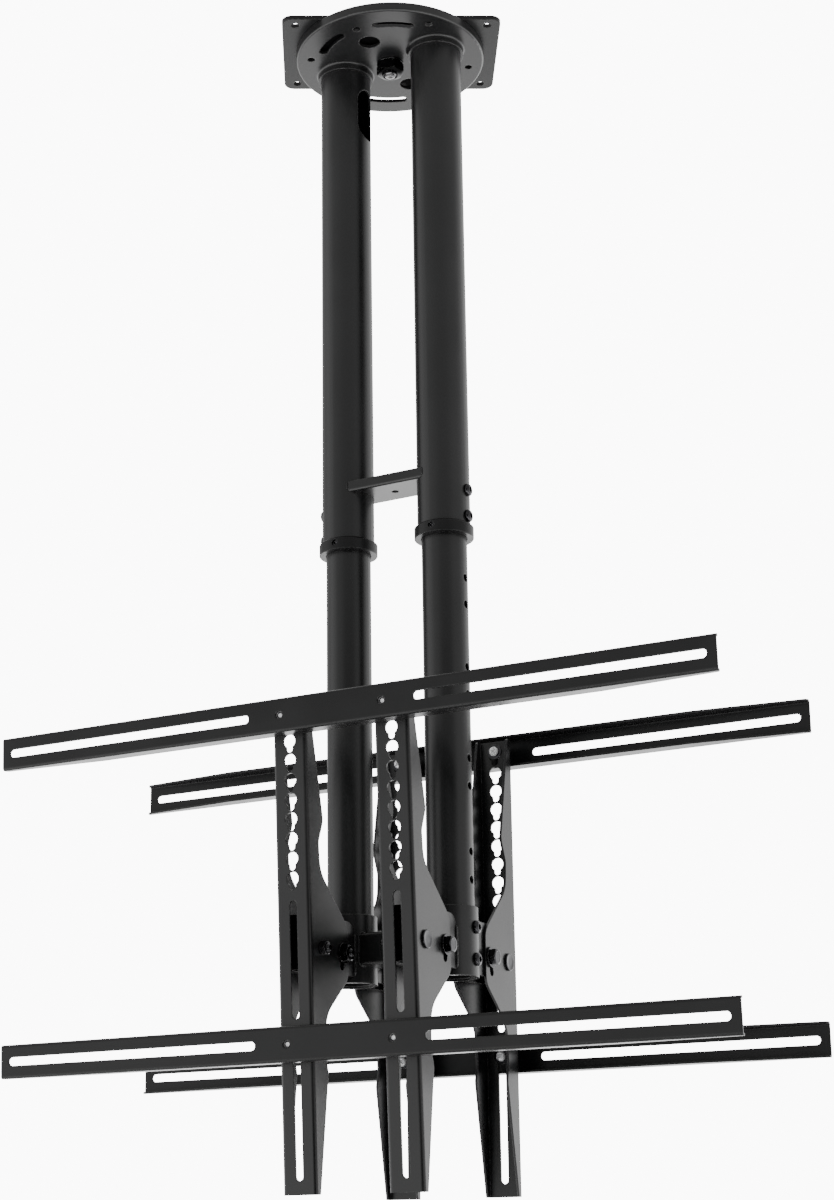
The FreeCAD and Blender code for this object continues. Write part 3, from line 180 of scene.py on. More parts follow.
FRONT_SCREW_WAY = Vector((0, -math.cos(FRONT_LEAN), -math.sin(FRONT_LEAN)))
BACK_SCREW_WAY = Vector((0, 1, 0))

# Weld beads, in millimetres: what they lie on, their radii, and where they run
POLE_X = 59.65
SLEEVE_RADIUS = 28.5
BAR_POLE_RADIUS = 29.1
EAR_BEAD, TIE_BEAD, BAR_BEAD, BAR_END_BEAD = 1.9, 1.4, 1.3, 0.9
WELD_LIFT, EAR_LIFT, BAR_LIFT = 0.2, 0.5, 0.4
EAR_WELD_FROM, EAR_WELD_TO = 1.5, 45.0
TIE_CORNER, CORNER_STEPS = 4.0, 6
BAR_SEAM_SHORT, BAR_SEAM_RISE, BAR_SEAM_STEPS = 3.4, 2.9, 18
BAR_END_FROM, BAR_END_SHORT = 3, 0.6
BEAD_GAP = 0.3

# Shape of a bead: its sides, and in shares of its radius its body, thin ends, run-in and ripples
BEAD_SIDES = 12
BEAD_BODY, BEAD_TIP, BEAD_RUN_IN = 0.9, 0.35, 2.2
RIPPLE_LENGTH, RIPPLE_HEIGHT, RIPPLE_CURVE, RIPPLE_TURN = 1.05, 0.14, 0.3, 0.8


def make_camera():
    """Place the camera where the photograph was taken from."""
    level_share = math.cos(PITCH)
    ahead = Vector((-math.sin(AZIMUTH) * level_share, math.cos(AZIMUTH) * level_share, math.sin(PITCH)))
    level = Vector((math.cos(AZIMUTH), math.sin(AZIMUTH), 0))
    upward = level.cross(ahead)
    right = level * math.cos(ROLL) + upward * math.sin(ROLL)
    top = upward * math.cos(ROLL) - level * math.sin(ROLL)
    data = bpy.data.cameras.new("photo_camera")
    data.sensor_width = SENSOR
    data.lens = FOCAL_PIXELS / IMAGE_HEIGHT * SENSOR
    data.shift_x = (IMAGE_WIDTH / 2 - CENTRE_X) / IMAGE_HEIGHT
    data.shift_y = (CENTRE_Y - IMAGE_HEIGHT / 2) / IMAGE_HEIGHT
    data.clip_start = NEAREST
    data.clip_end = FARTHEST
    camera = bpy.data.objects.new("photo_camera", data)
    bpy.context.scene.collection.objects.link(camera)
    camera.matrix_world = Matrix((
        (right.x, top.x, -ahead.x, EYE.x),
        (right.y, top.y, -ahead.y, EYE.y),
        (right.z, top.z, -ahead.z, EYE.z),
        (0, 0, 0, 1)))
    bpy.context.scene.camera = camera


def add(tree, kind, values=None, **settings):
    """Add a shader node, set its options, and fill or link its inputs."""
    node = tree.nodes.new(kind)
    for key, value in settings.items():
        setattr(node, key, value)
    for socket, value in (values or {}).items():
        if isinstance(value, bpy.types.NodeSocket):
            tree.links.new(value, node.inputs[socket])
        else:
            node.inputs[socket].default_value = value
    return node


def ramp(tree, source, low, high, low_to=0.0, high_to=1.0):
    """A smooth step of one value between two levels."""
    return add(tree, "ShaderNodeMapRange", {
        "Value": source, "From Min": low, "From Max": high, "To Min": low_to, "To Max": high_to},
        interpolation_type="SMOOTHSTEP").outputs["Result"]


def product(tree, first, second):
    return add(tree, "ShaderNodeMath", {0: first, 1: second}, operation="MULTIPLY").outputs[0]


def total(tree, first, second):
    return add(tree, "ShaderNodeMath", {0: first, 1: second}, operation="ADD").outputs[0]


def mix_values(tree, factor, first, second):
    return add(tree, "ShaderNodeMix", {0: factor, 2: first, 3: second}, data_type="FLOAT").outputs[0]


def mix_colours(tree, factor, first, second):
    return add(tree, "ShaderNodeMix", {0: factor, 6: first, 7: second}, data_type="RGBA").outputs[2]


def towards(tree, one, other):
    """How far one direction agrees with another."""
    return add(tree, "ShaderNodeVectorMath", {0: one, 1: other}, operation="DOT_PRODUCT").outputs["Value"]


def noise(tree, place, scale, detail=2.0, roughness=0.5):
    return add(tree, "ShaderNodeTexNoise", {
        "Vector": place, "Scale": scale, "Detail": detail, "Roughness": roughness}).outputs["Fac"]


def make_studio():
    """Soft light from all round, and plain white behind the mount."""
    world = bpy.data.worlds.new("studio")
    world.use_nodes = True
    bpy.context.scene.world = world
    tree = world.node_tree
    tree.nodes.clear()
    way = add(tree, "ShaderNodeTexCoord").outputs["Generated"]
    height = add(tree, "ShaderNodeSeparateXYZ", {0: way}).outputs["Z"]
    behind = ramp(tree, towards(tree, way, BACKDROP_WAY), *BEHIND_STEP)
    backdrop = product(tree, ramp(tree, height, *BACKDROP_FOOT), ramp(tree, height, *BACKDROP_TOP))
    left = ramp(tree, towards(tree, way, PLAIN_LEFT), *BACKDROP_LEFT)
    backdrop = product(tree, backdrop, left)
    near_camera = ramp(tree, towards(tree, way, CAMERA_SIDE), *CAMERA_STEP)
    unlit = mix_values(tree, near_camera, 1.0, ramp(tree, height, *UNLIT_FOOT))
    room = product(tree, ramp(tree, height, *ROOM_TOP), unlit)
    room = product(tree, room, ramp(tree, height, *ROOM_FOOT))
    panel = ramp(tree, towards(tree, way, LEFT_PANEL), *PANEL_STEP)
    room = product(tree, room, panel)
    lit = mix_values(tree, behind, room, backdrop)
    seen = add(tree, "ShaderNodeLightPath").outputs["Is Camera Ray"]
    strength = mix_values(tree, seen, lit, SEEN_BACKGROUND)
    glow = add(tree, "ShaderNodeBackground", {"Strength": strength})
    add(tree, "ShaderNodeOutputWorld", {"Surface": glow.outputs[0]})


def start_material(name):
    material = bpy.data.materials.new(name)
    material.use_nodes = True
    tree = material.node_tree
    return material, tree, tree.nodes["Principled BSDF"].inputs


def make_floor():
    """A plain pale floor that fades out round the mount."""
    corners = ((-1, -1), (1, -1), (1, 1), (-1, 1))
    mesh = bpy.data.meshes.new("floor")
    mesh.from_pydata([(x * FLOOR_END, y * FLOOR_END, FLOOR_LEVEL) for x, y in corners], [], [(0, 1, 2, 3)])
    floor = bpy.data.objects.new("floor", mesh)
    bpy.context.scene.collection.objects.link(floor)
    pale, tree, shader = start_material("pale_floor")
    shader["Base Color"].default_value = FLOOR_COLOUR
    shader["Roughness"].default_value = FLOOR_ROUGHNESS
    place = add(tree, "ShaderNodeTexCoord").outputs["Object"]
    flat = add(tree, "ShaderNodeVectorMath", {0: place, 1: (1.0, 1.0, 0.0)}, operation="MULTIPLY")
    away = add(tree, "ShaderNodeVectorMath", {0: flat.outputs["Vector"]}, operation="LENGTH")
    fade = ramp(tree, away.outputs["Value"], FLOOR_FULL, FLOOR_END, 1.0, 0.0)
    tree.links.new(fade, shader["Alpha"])
    mesh.materials.append(pale)


def new_group(name, inputs, outputs):
    """A shader node group with named value inputs and named outputs."""
    group = bpy.data.node_groups.new(name, "ShaderNodeTree")
    for label, value in inputs:
        socket = group.interface.new_socket(name=label, in_out="INPUT", socket_type="NodeSocketFloat")
        socket.default_value = value
    for label, kind in outputs:
        group.interface.new_socket(name=label, in_out="OUTPUT", socket_type="NodeSocket" + kind)
    given = group.nodes.new("NodeGroupInput").outputs
    return group, given, group.nodes.new("NodeGroupOutput").inputs


def coat_grain_group():
    """Surface of a sprayed and baked coat: fine grain, orange peel and broad unevenness."""
    group, given, result = new_group(
        "coat_grain",
        [("Grain", 2600.0), ("Peel", 420.0), ("Cloud", 9.0)],
        [("Height", "Float"), ("Cloud", "Float")])
    place = add(group, "ShaderNodeTexCoord").outputs["Object"]
    grain = noise(group, place, given["Grain"], 1.0)
    peel = noise(group, place, given["Peel"])
    group.links.new(total(group, product(group, grain, GRAIN_SHARE), peel), result["Height"])
    cloud = noise(group, place, given["Cloud"], 4.0, 0.6)
    group.links.new(ramp(group, cloud, *CLOUD_STEP), result["Cloud"])
    return group


def edge_group():
    """Rounds sharp edges in the shading and marks where they rub and where a highlight is painted on them:
    a normal and a mask.
    """
    group, given, result = new_group(
        "rounded_edge",
        [("Round", 0.0006), ("Reach", 0.0012)],
        [("Normal", "Vector"), ("Edge", "Float")])
    soft = add(group, "ShaderNodeBevel", {"Radius": given["Round"]}, samples=4).outputs[0]
    group.links.new(soft, result["Normal"])
    wide = add(group, "ShaderNodeBevel", {"Radius": given["Reach"]}, samples=4).outputs[0]
    true = add(group, "ShaderNodeNewGeometry").outputs["Normal"]
    sharp = ramp(group, towards(group, wide, true), *EDGE_STEP)
    place = add(group, "ShaderNodeTexCoord").outputs["Object"]
    broken = ramp(group, noise(group, place, BREAK_SCALE, 3.0), *BREAK_STEP)
    group.links.new(product(group, sharp, broken), result["Edge"])
    return group


def place_group(tree, group, **values):
    node = tree.nodes.new("ShaderNodeGroup")
    node.node_tree = group
    for label, value in values.items():
        node.inputs[label].default_value = value
    return node.outputs


def add_relief(tree, shader, height, relief, normal=None):
    """Fine relief of a surface, over its rounded edges where they are given."""
    strength, distance = relief
    values = {"Height": height, "Strength": strength, "Distance": distance}
    if normal:
        values["Normal"] = normal
    tree.links.new(add(tree, "ShaderNodeBump", values).outputs[0], shader["Normal"])


def powder_coat(name, roughness, gloss=0.5, bend=0.0012):
    """Satin, finely textured black powder coat, a little smoother where edges rub, and paler there from
    wear and a painted highlight.
    """
    material, tree, shader = start_material(name)
    shader["Specular IOR Level"].default_value = gloss
    coat = place_group(tree, COAT_GRAIN)
    edge = place_group(tree, ROUNDED_EDGE, Round=bend, Reach=0.0015)
    colour = mix_colours(tree, coat["Cloud"], COAT_DARK, COAT_PALE)
    # Sharp edges are painted paler: partly worn coat, partly a painted highlight.
    worn_and_highlit = mix_colours(tree, product(tree, edge["Edge"], COAT_WEAR_AND_HIGHLIGHT), colour, COAT_RUBBED_AND_HIGHLIT)
    tree.links.new(worn_and_highlit, shader["Base Color"])
    rough = mix_values(tree, coat["Cloud"], *roughness)
    worn_rough = mix_values(tree, product(tree, edge["Edge"], COAT_POLISH), rough, RUBBED_ROUGHNESS)
    tree.links.new(worn_rough, shader["Roughness"])
    add_relief(tree, shader, coat["Height"], COAT_RELIEF, edge["Normal"])
    return material


def black_oxide(name, dark, pale, rubbed_and_highlit):
    """Blackened, oiled steel of bolts and nuts: glossy, with fine turning marks."""
    material, tree, shader = start_material(name)
    coat = place_group(tree, COAT_GRAIN, Grain=3800.0, Peel=1500.0, Cloud=160.0)
    edge = place_group(tree, ROUNDED_EDGE, Round=0.0004, Reach=0.0005)
    colour = mix_colours(tree, coat["Cloud"], dark, pale)
    # Sharp edges are painted paler: partly rubbed oxide, partly a painted highlight.
    worn_and_highlit = mix_colours(tree, product(tree, edge["Edge"], OXIDE_WEAR_AND_HIGHLIGHT), colour, rubbed_and_highlit)
    tree.links.new(worn_and_highlit, shader["Base Color"])
    tree.links.new(mix_values(tree, coat["Cloud"], *OXIDE_ROUGHNESS), shader["Roughness"])
    shader["Metallic"].default_value = 1.0
    add_relief(tree, shader, coat["Height"], METAL_RELIEF, edge["Normal"])
    return material


def zinc_plate(name, dark, pale, metal):
    """Zinc plate: metal with a slight, cloudy bloom."""
    material, tree, shader = start_material(name)
    coat = place_group(tree, COAT_GRAIN, Grain=3200.0, Peel=1800.0, Cloud=240.0)
    edge = place_group(tree, ROUNDED_EDGE, Round=0.0003)
    tree.links.new(mix_colours(tree, coat["Cloud"], dark, pale), shader["Base Color"])
    tree.links.new(mix_values(tree, coat["Cloud"], *ZINC_ROUGHNESS), shader["Roughness"])
    shader["Metallic"].default_value = metal
    add_relief(tree, shader, coat["Height"], METAL_RELIEF, edge["Normal"])
    return material


def moulded_nylon(name):
    """Moulded black nylon: even, with a soft sheen."""
    material, tree, shader = start_material(name)
    coat = place_group(tree, COAT_GRAIN, Grain=1600.0, Peel=700.0, Cloud=60.0)
    tree.links.new(mix_colours(tree, coat["Cloud"], NYLON_DARK, NYLON_PALE), shader["Base Color"])
    tree.links.new(mix_values(tree, coat["Cloud"], *NYLON_ROUGHNESS), shader["Roughness"])
    add_relief(tree, shader, coat["Height"], NYLON_RELIEF)
    return material


# Fasteners are stacks of rings. A ring is one closed row of points round an axis.
# Heights run along the axis, outwards from the middle.
def angles():
    return [2 * math.pi * step / TURN for step in range(TURN)]


def circle(radius, height):
    return [(radius * math.cos(a), radius * math.sin(a), height) for a in angles()]


def circles(*rows):
    return [circle(radius, height) for radius, height in rows]


def hexagon_radius(angle, across):
    """Distance from the middle to the side of a hexagon, for half its width across the flats."""
    return across / math.cos((angle + math.pi / 6) % (math.pi / 3) - math.pi / 6)


def hexagon(across, height):
    rows = [(hexagon_radius(a, across), a) for a in angles()]
    return [(r * math.cos(a), r * math.sin(a), height) for r, a in rows]


def cut_corners(across, face, away):
    """The line where a hexagon meets the cone that takes off its corners, below or above a face."""
    rows = [(hexagon_radius(a, across), a) for a in angles()]
    fall = [(r - across * FACE_SHARE) * math.tan(CORNER_SLOPE) for r, a in rows]
    return [(r * math.cos(a), r * math.sin(a), face + away * drop) for (r, a), drop in zip(rows, fall)]


def cross(reach, half, height, narrow=1.0):
    """A four-armed recess for a cross screwdriver."""
    points = []
    for a in angles():
        turn = (a + math.pi / 4) % (math.pi / 2) - math.pi / 4
        side = abs(half / math.sin(turn)) if abs(turn) > 1e-6 else reach
        radius = min(reach / math.cos(turn), side) * narrow
        points.append((radius * math.cos(a), radius * math.sin(a), height))
    return points


def skin(work, rings, close_start=False, close_end=False, joined=False):
    """Cover a stack of rings with faces."""
    rows = [[work.verts.new(point) for point in ring] for ring in rings]
    pairs = list(zip(rows, rows[1:]))
    if joined:
        pairs.append((rows[-1], rows[0]))
    for low, high in pairs:
        count = len(low)
        for step in range(count):
            after = (step + 1) % count
            work.faces.new((low[step], low[after], high[after], high[step]))
    for shut, row in ((close_start, rows[0]), (close_end, rows[-1])):
        if shut:
            work.faces.new(row)


def rounded_rim(radius, height, rounding):
    """Rings of a rounded outer edge that ends at a height, coming from the side."""
    steps = 5
    rings = []
    for step in range(steps + 1):
        turn = math.pi / 2 * step / steps
        reach = radius - rounding * (1 - math.cos(turn))
        rings.append(circle(reach, height - rounding * (1 - math.sin(turn))))
    return rings


def dome(radius, seat, height, inner, edge=0.35):
    """Rings of a domed head, from its rim to the mouth of its recess."""
    steps = 7
    rings = circles((radius * 0.97, seat), (radius, seat + height * 0.08), (radius, seat + height * edge))
    last = math.acos(inner / radius)
    for step in range(1, steps + 1):
        turn = last * step / steps
        rise = edge + (1 - edge) * math.sin(turn) / math.sin(last)
        rings.append(circle(radius * math.cos(turn), seat + height * rise))
    return rings


def thread(work, radius, pitch, start, end):
    """A screw thread: rows of points that follow the helix, with a bevelled crest at each end."""
    depth = pitch * THREAD_DEPTH
    turns = int((end - start) / pitch) + 2
    rows = []
    for turn in range(turns):
        for share, sink in THREAD_SHAPE:
            row = []
            for column in range(THREAD_COLUMNS + 1):
                level = start + (turn - 1 + share + column / THREAD_COLUMNS) * pitch
                level = min(max(level, start), end)
                near = min(level - start, end - level)
                bevel = max(0.0, depth - near)
                reach = radius - max(depth * sink, bevel)
                angle = 2 * math.pi * column / THREAD_COLUMNS
                row.append(work.verts.new((reach * math.cos(angle), reach * math.sin(angle), level)))
            rows.append(row)
    for low, high in zip(rows, rows[1:]):
        for column in range(THREAD_COLUMNS):
            work.faces.new((low[column], low[column + 1], high[column + 1], high[column]))


def hollow_socket(across, mouth, depth):
    """Rings of a hexagon socket, down from the mouth of a head."""
    return [hexagon(across * 1.06, mouth), hexagon(across, mouth - 0.3), hexagon(across, mouth - depth),
            circle(across * 0.45, mouth - depth - across * 0.25)]


def button_head(work, seat, radius, height, shank, foot):
    """A domed screw with a hexagon socket, down to the foot of its shank."""
    socket = radius * 0.4
    rings = circles((shank * 0.9, foot), (shank, foot + 0.4), (shank, seat))
    rings += dome(radius, seat, height, socket * 1.35)
    rings += hollow_socket(socket, seat + height, height * 0.6)
    skin(work, rings, close_start=True, close_end=True)


def flat_round_head(work, seat, radius, height, shank, foot):
    """A low round head with a rounded rim and a slightly hollow face, and its threaded shank."""
    top = seat + height
    rings = circles((shank, foot + THREAD_END), (shank, seat), (radius * 0.98, seat))
    rings += rounded_rim(radius, top, 0.8)
    rings += circles((radius * 0.82, top), (radius * 0.76, top - 0.16), (radius * 0.3, top - 0.2))
    skin(work, rings, close_end=True)
    threaded_end(work, shank, foot, foot + THREAD_END)


def threaded_end(work, shank, foot, top):
    """The threaded end of a bolt, with a bevelled and slightly hollow tip."""
    thread(work, shank, BOLT_PITCH, foot + BOLT_TIP, top)
    tip = circles((shank * 0.16, foot + 0.25), (shank * 0.62, foot),
                  (shank * 0.74, foot), (shank * 0.86, foot + BOLT_TIP))
    skin(work, tip, close_start=True)


def hexagon_head(work, seat, across, height, shank, foot):
    """A hexagon head with cut corners on a washer face, and its threaded shank."""
    top = seat + height
    face = across * FACE_SHARE
    rings = circles((shank, foot + THREAD_END), (shank, seat), (face, seat), (face, seat + WASHER_FACE))
    rings += [cut_corners(across, seat + WASHER_FACE, 1), cut_corners(across, top, -1)]
    rings += circles((face, top), (across * 0.72, top), (across * 0.68, top - 0.25))
    skin(work, rings, close_end=True)
    threaded_end(work, shank, foot, foot + THREAD_END)


def hexagon_nut(work, low, high, across, bore):
    """A nut whose corners are cut on both faces, with a countersunk bore."""
    face = across * FACE_SHARE
    rings = circles((bore, low + NUT_SINK), (bore + NUT_FLARE, low), (face, low))
    rings += [cut_corners(across, low, 1), cut_corners(across, high, -1)]
    rings += circles((face, high), (bore + NUT_FLARE, high), (bore, high - NUT_SINK))
    skin(work, rings, joined=True)


def lock_nut(work, low, high, across, bore, collar, collar_height):
    """A self-locking nut: a hexagon with a rounded, hollow collar on its outer side."""
    body = high - collar_height
    face = across * FACE_SHARE
    floor = high - collar_height * 0.5
    rings = circles((bore, low), (face, low))
    rings += [cut_corners(across, low, 1), cut_corners(across, body, -1)]
    rings += circles((face, body), (collar * 1.08, body - 0.1), (collar, body + 0.3))
    rings += rounded_rim(collar, high, collar_height * 0.3)
    rings += circles((bore + 0.9, high), (bore + 0.7, floor), (bore, floor))
    skin(work, rings, joined=True)


def stud_end(work, radius, foot, top):
    """The lower end of the swivel stud: a thread, a bevel and a centre mark."""
    thread(work, radius, STUD_PITCH, foot, top)
    tip = top + STUD_TIP
    end = circles((radius * 0.85, top - 0.2), (radius * 0.84, tip - 0.35), (radius * 0.74, tip),
                  (radius * 0.45, tip), (radius * 0.4, tip - 0.35), (radius * 0.12, tip - 1.1))
    skin(work, end, close_end=True)
    skin(work, circles((radius * 0.9, 0.0), (radius, 0.6), (radius, foot)), close_start=True)


def pan_screw(work, head, seat, radius, shank, tip):
    """A pan head screw with a cross recess, threaded to its bevelled tip."""
    height = seat - head
    reach, half = radius * 0.62, radius * 0.15
    outer = dome(radius, head, height, reach * 1.05, 0.4)
    flipped = [[(x, y, head + seat - z) for x, y, z in ring] for ring in outer]
    recess = [cross(reach, half, head + 0.1), cross(reach, half, head + height * 0.35, 0.86),
              cross(reach, half, head + height * 0.8, 0.45)]
    skin(work, list(reversed(recess)) + list(reversed(flipped)) + [circle(shank, seat)], close_start=True)
    thread(work, shank, SCREW_PITCH, seat, tip - SCREW_TIP)
    end = circles((shank * 0.82, tip - SCREW_TIP), (shank * 0.72, tip), (shank * 0.3, tip - 0.15))
    skin(work, end, close_end=True)


def cup_screw(work, low, high, radius):
    """A headless set screw with a hexagon socket."""
    rings = circles((radius * 0.8, low), (radius, low + 0.5), (radius, high - 0.3), (radius * 0.9, high))
    rings += hollow_socket(radius * 0.5, high, 2.2)
    skin(work, rings, close_start=True, close_end=True)


def solids_of(name):
    """The separate solids of a node, each as its points in millimetres."""
    mesh = NODES[name].data
    spots, lead, index = {}, [], []
    for vertex in mesh.vertices:
        key = tuple(round(value, 6) for value in vertex.co)
        if key not in spots:
            spots[key] = len(lead)
            lead.append(len(lead))
        index.append(spots[key])

    def first(item):
        while lead[item] != item:
            lead[item] = lead[lead[item]]
            item = lead[item]
        return item

    for edge in mesh.edges:
        one, other = first(index[edge.vertices[0]]), first(index[edge.vertices[1]])
        if one != other:
            lead[one] = other
    found = {}
    for key, item in spots.items():
        found.setdefault(first(item), []).append(Vector(key) / MM)
    return list(found.values())


def along(points, way):
    """The middle line of a solid along a way: a frame whose height is measured on it, and the two ends."""
    side = Vector((0, 0, 1)) if abs(way.x) > 0.5 else way.orthogonal().normalized()
    other = way.cross(side)
    spread = [(point.dot(side), point.dot(other), point.dot(way)) for point in points]
    middle = [(min(s[i] for s in spread) + max(s[i] for s in spread)) / 2 for i in (0, 1)]
    start = side * middle[0] + other * middle[1]
    frame_of = Matrix((
        (side.x, other.x, way.x, start.x),
        (side.y, other.y, way.y, start.y),
        (side.z, other.z, way.z, start.z),
        (0, 0, 0, 1)))
    return frame_of, min(s[2] for s in spread), max(s[2] for s in spread)


def outward(points):
    """The way along X from the middle of the mount to a solid."""
    return Vector((1, 0, 0)) if sum(point.x for point in points) > 0 else Vector((-1, 0, 0))


def make_piece(name, work, slot, stands_for, body=None, finish=None):
    """Turn mesh work, given in millimetres, into a piece that rides on its body."""
    bmesh.ops.recalc_face_normals(work, faces=work.faces)
    bmesh.ops.scale(work, vec=(MM, MM, MM), verts=work.verts)
    mesh = bpy.data.meshes.new(name)
    work.to_mesh(mesh)
    work.free()
    for face in mesh.polygons:
        face.use_smooth = True
    mesh.set_sharp_from_angle(angle=SHARP)
    mesh.materials.append(finish or FINISH[slot])
    piece = bpy.data.objects.new(name, mesh)
    bpy.context.scene.collection.objects.link(piece)
    if stands_for:
        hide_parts(stands_for)
        body = body_of(NODES[stands_for])[0]
    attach(piece, body)


def detail_of(node, slot, way, build, finish=None):
    """Build one piece with a detailed solid for each solid of a node, along a way or outwards."""
    whole = bmesh.new()
    for points in solids_of(node):
        frame_of, low, high = along(points, way or outward(points))
        part = bmesh.new()
        build(part, low, high)
        bmesh.ops.transform(part, matrix=frame_of, verts=part.verts)
        held = bpy.data.meshes.new("held")
        part.to_mesh(held)
        part.free()
        whole.from_mesh(held)
        bpy.data.meshes.remove(held)
    make_piece(node + "_detail", whole, slot, node, finish=finish)


def button_screw(work, low, high):
    button_head(work, high - BUTTON_HEIGHT, BUTTON_RADIUS, BUTTON_HEIGHT, BUTTON_SHANK, low)


def set_screw(work, low, high):
    cup_screw(work, low, high - SET_SCREW_SINK, SET_SCREW_RADIUS)


def swivel_nut(work, low, high):
    lock_nut(work, low, high, SWIVEL_NUT_ACROSS, STUD_RADIUS, SWIVEL_COLLAR, SWIVEL_COLLAR_HEIGHT)


def swivel_stud(work, low, high):
    stud_end(work, STUD_RADIUS, high - STUD_THREAD, high - STUD_TIP)


def pivot_bolt(work, low, high):
    flat_round_head(work, high - PIVOT_HEAD_HEIGHT, PIVOT_HEAD_RADIUS, PIVOT_HEAD_HEIGHT, TILT_SHANK, low)


def lock_bolt(work, low, high):
    hexagon_head(work, high - HEXAGON_HEIGHT, HEXAGON_ACROSS, HEXAGON_HEIGHT, TILT_SHANK, low)


def pivot_bolt_nut(work, low, high):
    hexagon_nut(work, low, high, PIVOT_NUT_ACROSS, TILT_SHANK)


def lock_bolt_nut(work, low, high):
    hexagon_nut(work, low, high, HEXAGON_ACROSS, TILT_SHANK)


def rail_screw(work, low, high):
    pan_screw(work, low, low + RAIL_HEAD_HEIGHT, RAIL_HEAD_RADIUS, RAIL_SHANK, high - RAIL_TIP_SINK)


def rail_nut(work, low, high):
    hexagon_nut(work, low, high, RAIL_NUT_ACROSS, RAIL_SHANK)


def make_fasteners():
    """Put a detailed fastener in the place of each plain one."""
    black, zinc = "fastener_black", "fastener_zinc"
    detail_of("height_bolts", black, None, button_screw)
    detail_of("sleeve_screws", black, None, button_screw)
    detail_of("ring_set_screws", black, SET_SCREW_WAY, set_screw)
    detail_of("pivot_nut", black, DOWN, swivel_nut, NUT_OXIDE)
    detail_of("pivot_stud", zinc, DOWN, swivel_stud, DULL_ZINC)
    for side, way in (("front", FRONT_SCREW_WAY), ("back", BACK_SCREW_WAY)):
        detail_of("pivot_bolts_" + side, black, None, pivot_bolt)
        detail_of("lock_bolts_" + side, black, None, lock_bolt)
        detail_of("pivot_bolt_nuts_" + side, black, None, pivot_bolt_nut)
        detail_of("lock_bolt_nuts_" + side, black, None, lock_bolt_nut)
        detail_of("rail_screws_" + side, zinc, way, rail_screw)
        # The rail nuts take the darker zinc of the stud, which makes the holes they show through look
        # darker.
        detail_of("rail_nuts_" + side, zinc, way, rail_nut, DULL_ZINC)


def bead(work, path, radius, closed=False):
    """A weld bead along a path: overlapping crescents, tapered at its two ends."""
    lengths = [0.0]
    for one, other in zip(path, path[1:]):
        lengths.append(lengths[-1] + (other - one).length)
    whole = lengths[-1]
    run_in = BEAD_RUN_IN * radius
    rows = []
    for index, point in enumerate(path):
        before = path[index - 1] if index else (path[-2] if closed else point)
        after = path[index + 1] if index + 1 < len(path) else (path[1] if closed else point)
        way = (after - before).normalized()
        side = way.orthogonal().normalized()
        if abs(way.x) < 0.9:
            side = (Vector((1, 0, 0)) - way * way.x).normalized()
        other = way.cross(side)
        travelled = lengths[index]
        taper = 1.0
        if not closed:
            taper = min(1.0, BEAD_TIP + travelled / run_in, BEAD_TIP + (whole - travelled) / run_in)
        wander = 0.05 * math.sin(travelled * 0.9) + 0.04 * math.sin(travelled * 2.3 + 1.0)
        row = []
        for step in range(BEAD_SIDES):
            angle = 2 * math.pi * step / BEAD_SIDES
            curve = RIPPLE_CURVE * math.cos(angle - RIPPLE_TURN)
            ripple = (travelled / (RIPPLE_LENGTH * radius) - curve) % 1.0
            reach = radius * taper * (BEAD_BODY + RIPPLE_HEIGHT * ripple + wander)
            row.append(tuple(point + side * (reach * math.cos(angle)) + other * (reach * math.sin(angle))))
        rows.append(row)
    skin(work, rows, close_start=not closed, close_end=not closed)


def spread_along(corners):
    """Points at even small gaps along straight runs between corners."""
    points = []
    for one, other in zip(corners, corners[1:]):
        count = max(1, round((other - one).length / BEAD_GAP))
        points += [one.lerp(other, step / count) for step in range(count)]
    return points + [corners[-1]]


def rounded_loop(half, low, high, corner):
    """A rectangle with round corners, as points across the width and the height."""
    points = []
    for centre_y, centre_z, first in ((half - corner, high - corner, 0), (-half + corner, high - corner, 1),
                                      (-half + corner, low + corner, 2), (half - corner, low + corner, 3)):
        for step in range(CORNER_STEPS + 1):
            turn = math.pi / 2 * (first + step / CORNER_STEPS)
            points.append((centre_y + corner * math.cos(turn), centre_z + corner * math.sin(turn)))
    return points + [points[0]]


def weld_forks(work):
    """Beads down both sides of each fork, where it meets its sleeve."""
    for node in ("fork_front_left", "fork_front_right", "fork_back_left", "fork_back_right"):
        low, high = (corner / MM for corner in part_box(node))
        middle = (low.x + high.x) / 2
        face = -1 if "front" in node else 1
        half = (high.x - low.x) / 2
        y = face * (math.sqrt(SLEEVE_RADIUS ** 2 - half ** 2) + WELD_LIFT)
        for side in (-1, 1):
            x = middle + side * (half + EAR_LIFT)
            ends = [Vector((x, y, low.z + EAR_WELD_FROM)), Vector((x, y, low.z + EAR_WELD_TO))]
            bead(work, spread_along(ends), EAR_BEAD)


def weld_tie(work):
    """A closed bead round each end of the tie tube."""
    low, high = (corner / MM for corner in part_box("head_tie"))
    loop = rounded_loop(high.y + WELD_LIFT, low.z - WELD_LIFT, high.z + WELD_LIFT, TIE_CORNER)
    for side in (-1, 1):
        corners = []
        for y, z in loop:
            x = side * (POLE_X - math.sqrt(SLEEVE_RADIUS ** 2 - y * y) - WELD_LIFT)
            corners.append(Vector((x, y, z)))
        bead(work, spread_along(corners), TIE_BEAD, closed=True)


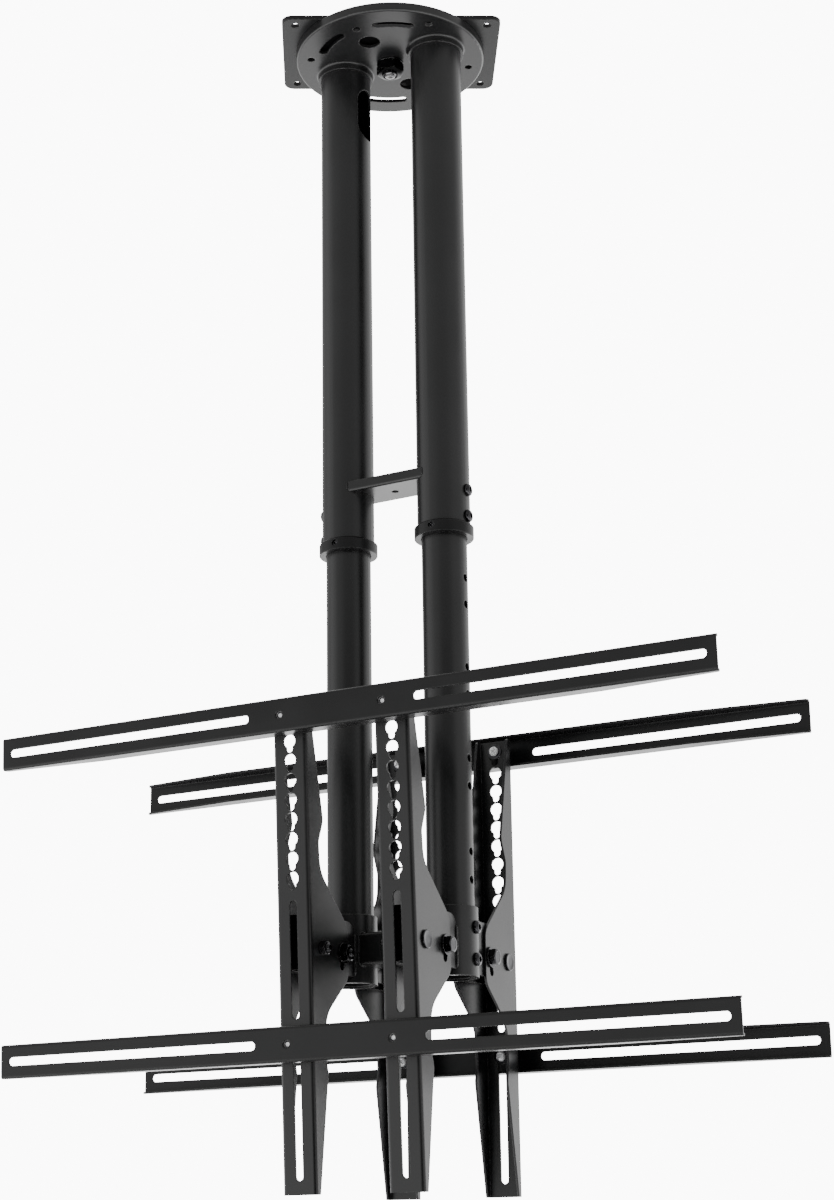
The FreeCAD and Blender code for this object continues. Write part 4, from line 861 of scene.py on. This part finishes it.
def weld_bar(work):
    """Beads along the underside and up the edges of each end of the cross bar."""
    low, high = (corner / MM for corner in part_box("cross_bar"))
    for side in (-1, 1):
        corners = []
        for step in range(-BAR_SEAM_STEPS, BAR_SEAM_STEPS + 1):
            y = (high.y - BAR_SEAM_SHORT) * step / BAR_SEAM_STEPS
            x = side * (POLE_X - math.sqrt(BAR_POLE_RADIUS ** 2 - y * y) - BAR_LIFT)
            corners.append(Vector((x, y, low.z + BAR_SEAM_RISE)))
        bead(work, spread_along(corners), BAR_BEAD)
        for face in (-1, 1):
            x = side * (POLE_X - math.sqrt(BAR_POLE_RADIUS ** 2 - high.y ** 2) + WELD_LIFT)
            y = face * (high.y + WELD_LIFT)
            ends = [Vector((x, y, low.z + BAR_END_FROM)), Vector((x, y, high.z - BAR_END_SHORT))]
            bead(work, spread_along(ends), BAR_END_BEAD)


def make_welds():
    """Beads that join the forks and the tie tube to the sleeves, and the cross bar to the poles."""
    work = bmesh.new()
    weld_forks(work)
    weld_tie(work)
    make_piece("head_welds", work, "powder_black", None, body_of(NODES["head_tie"])[0])
    work = bmesh.new()
    weld_bar(work)
    make_piece("bar_welds", work, "powder_black", None, body_of(NODES["cross_bar"])[0])


def finish_solids():
    """Give each solid its finish."""
    slots = {part["node"]: part["material_slot"] for part in frame["record"]["subparts"]}
    for name, node in NODES.items():
        node.data.materials.clear()
        finish = FINISH[slots[name]]
        if name in PLATES:
            finish = PLATE_COAT
        elif name in RAILS:
            finish = RAIL_COAT
        node.data.materials.append(finish)


COAT_GRAIN = coat_grain_group()
ROUNDED_EDGE = edge_group()
make_camera()
make_studio()
make_floor()
PLATE_COAT = powder_coat("plate_powder_coat", PLATE_ROUGHNESS, gloss=0.25)
RAIL_COAT = powder_coat("rail_powder_coat", RAIL_ROUGHNESS, gloss=0.32, bend=0.002)
NUT_OXIDE = black_oxide("deep_black_oxide", DEEP_OXIDE_DARK, DEEP_OXIDE_PALE, DEEP_OXIDE_RUBBED_AND_HIGHLIT)
DULL_ZINC = zinc_plate("dull_zinc_plate", DULL_ZINC_DARK, DULL_ZINC_PALE, 1.0)
FINISH = {
    "powder_black": powder_coat("black_powder_coat", COAT_ROUGHNESS),
    "fastener_black": black_oxide("black_oxide", OXIDE_DARK, OXIDE_PALE, OXIDE_RUBBED_AND_HIGHLIT),
    "fastener_zinc": zinc_plate("zinc_plate", ZINC_DARK, ZINC_PALE, 0.4),
    "bush_plastic": moulded_nylon("moulded_nylon"),
}
PLATES = ("ceiling_plate", "foot_ring_left", "foot_ring_right")
RAILS = ("rail_front_top", "rail_front_bottom", "rail_back_top", "rail_back_bottom")
finish_solids()
make_fasteners()
make_welds()
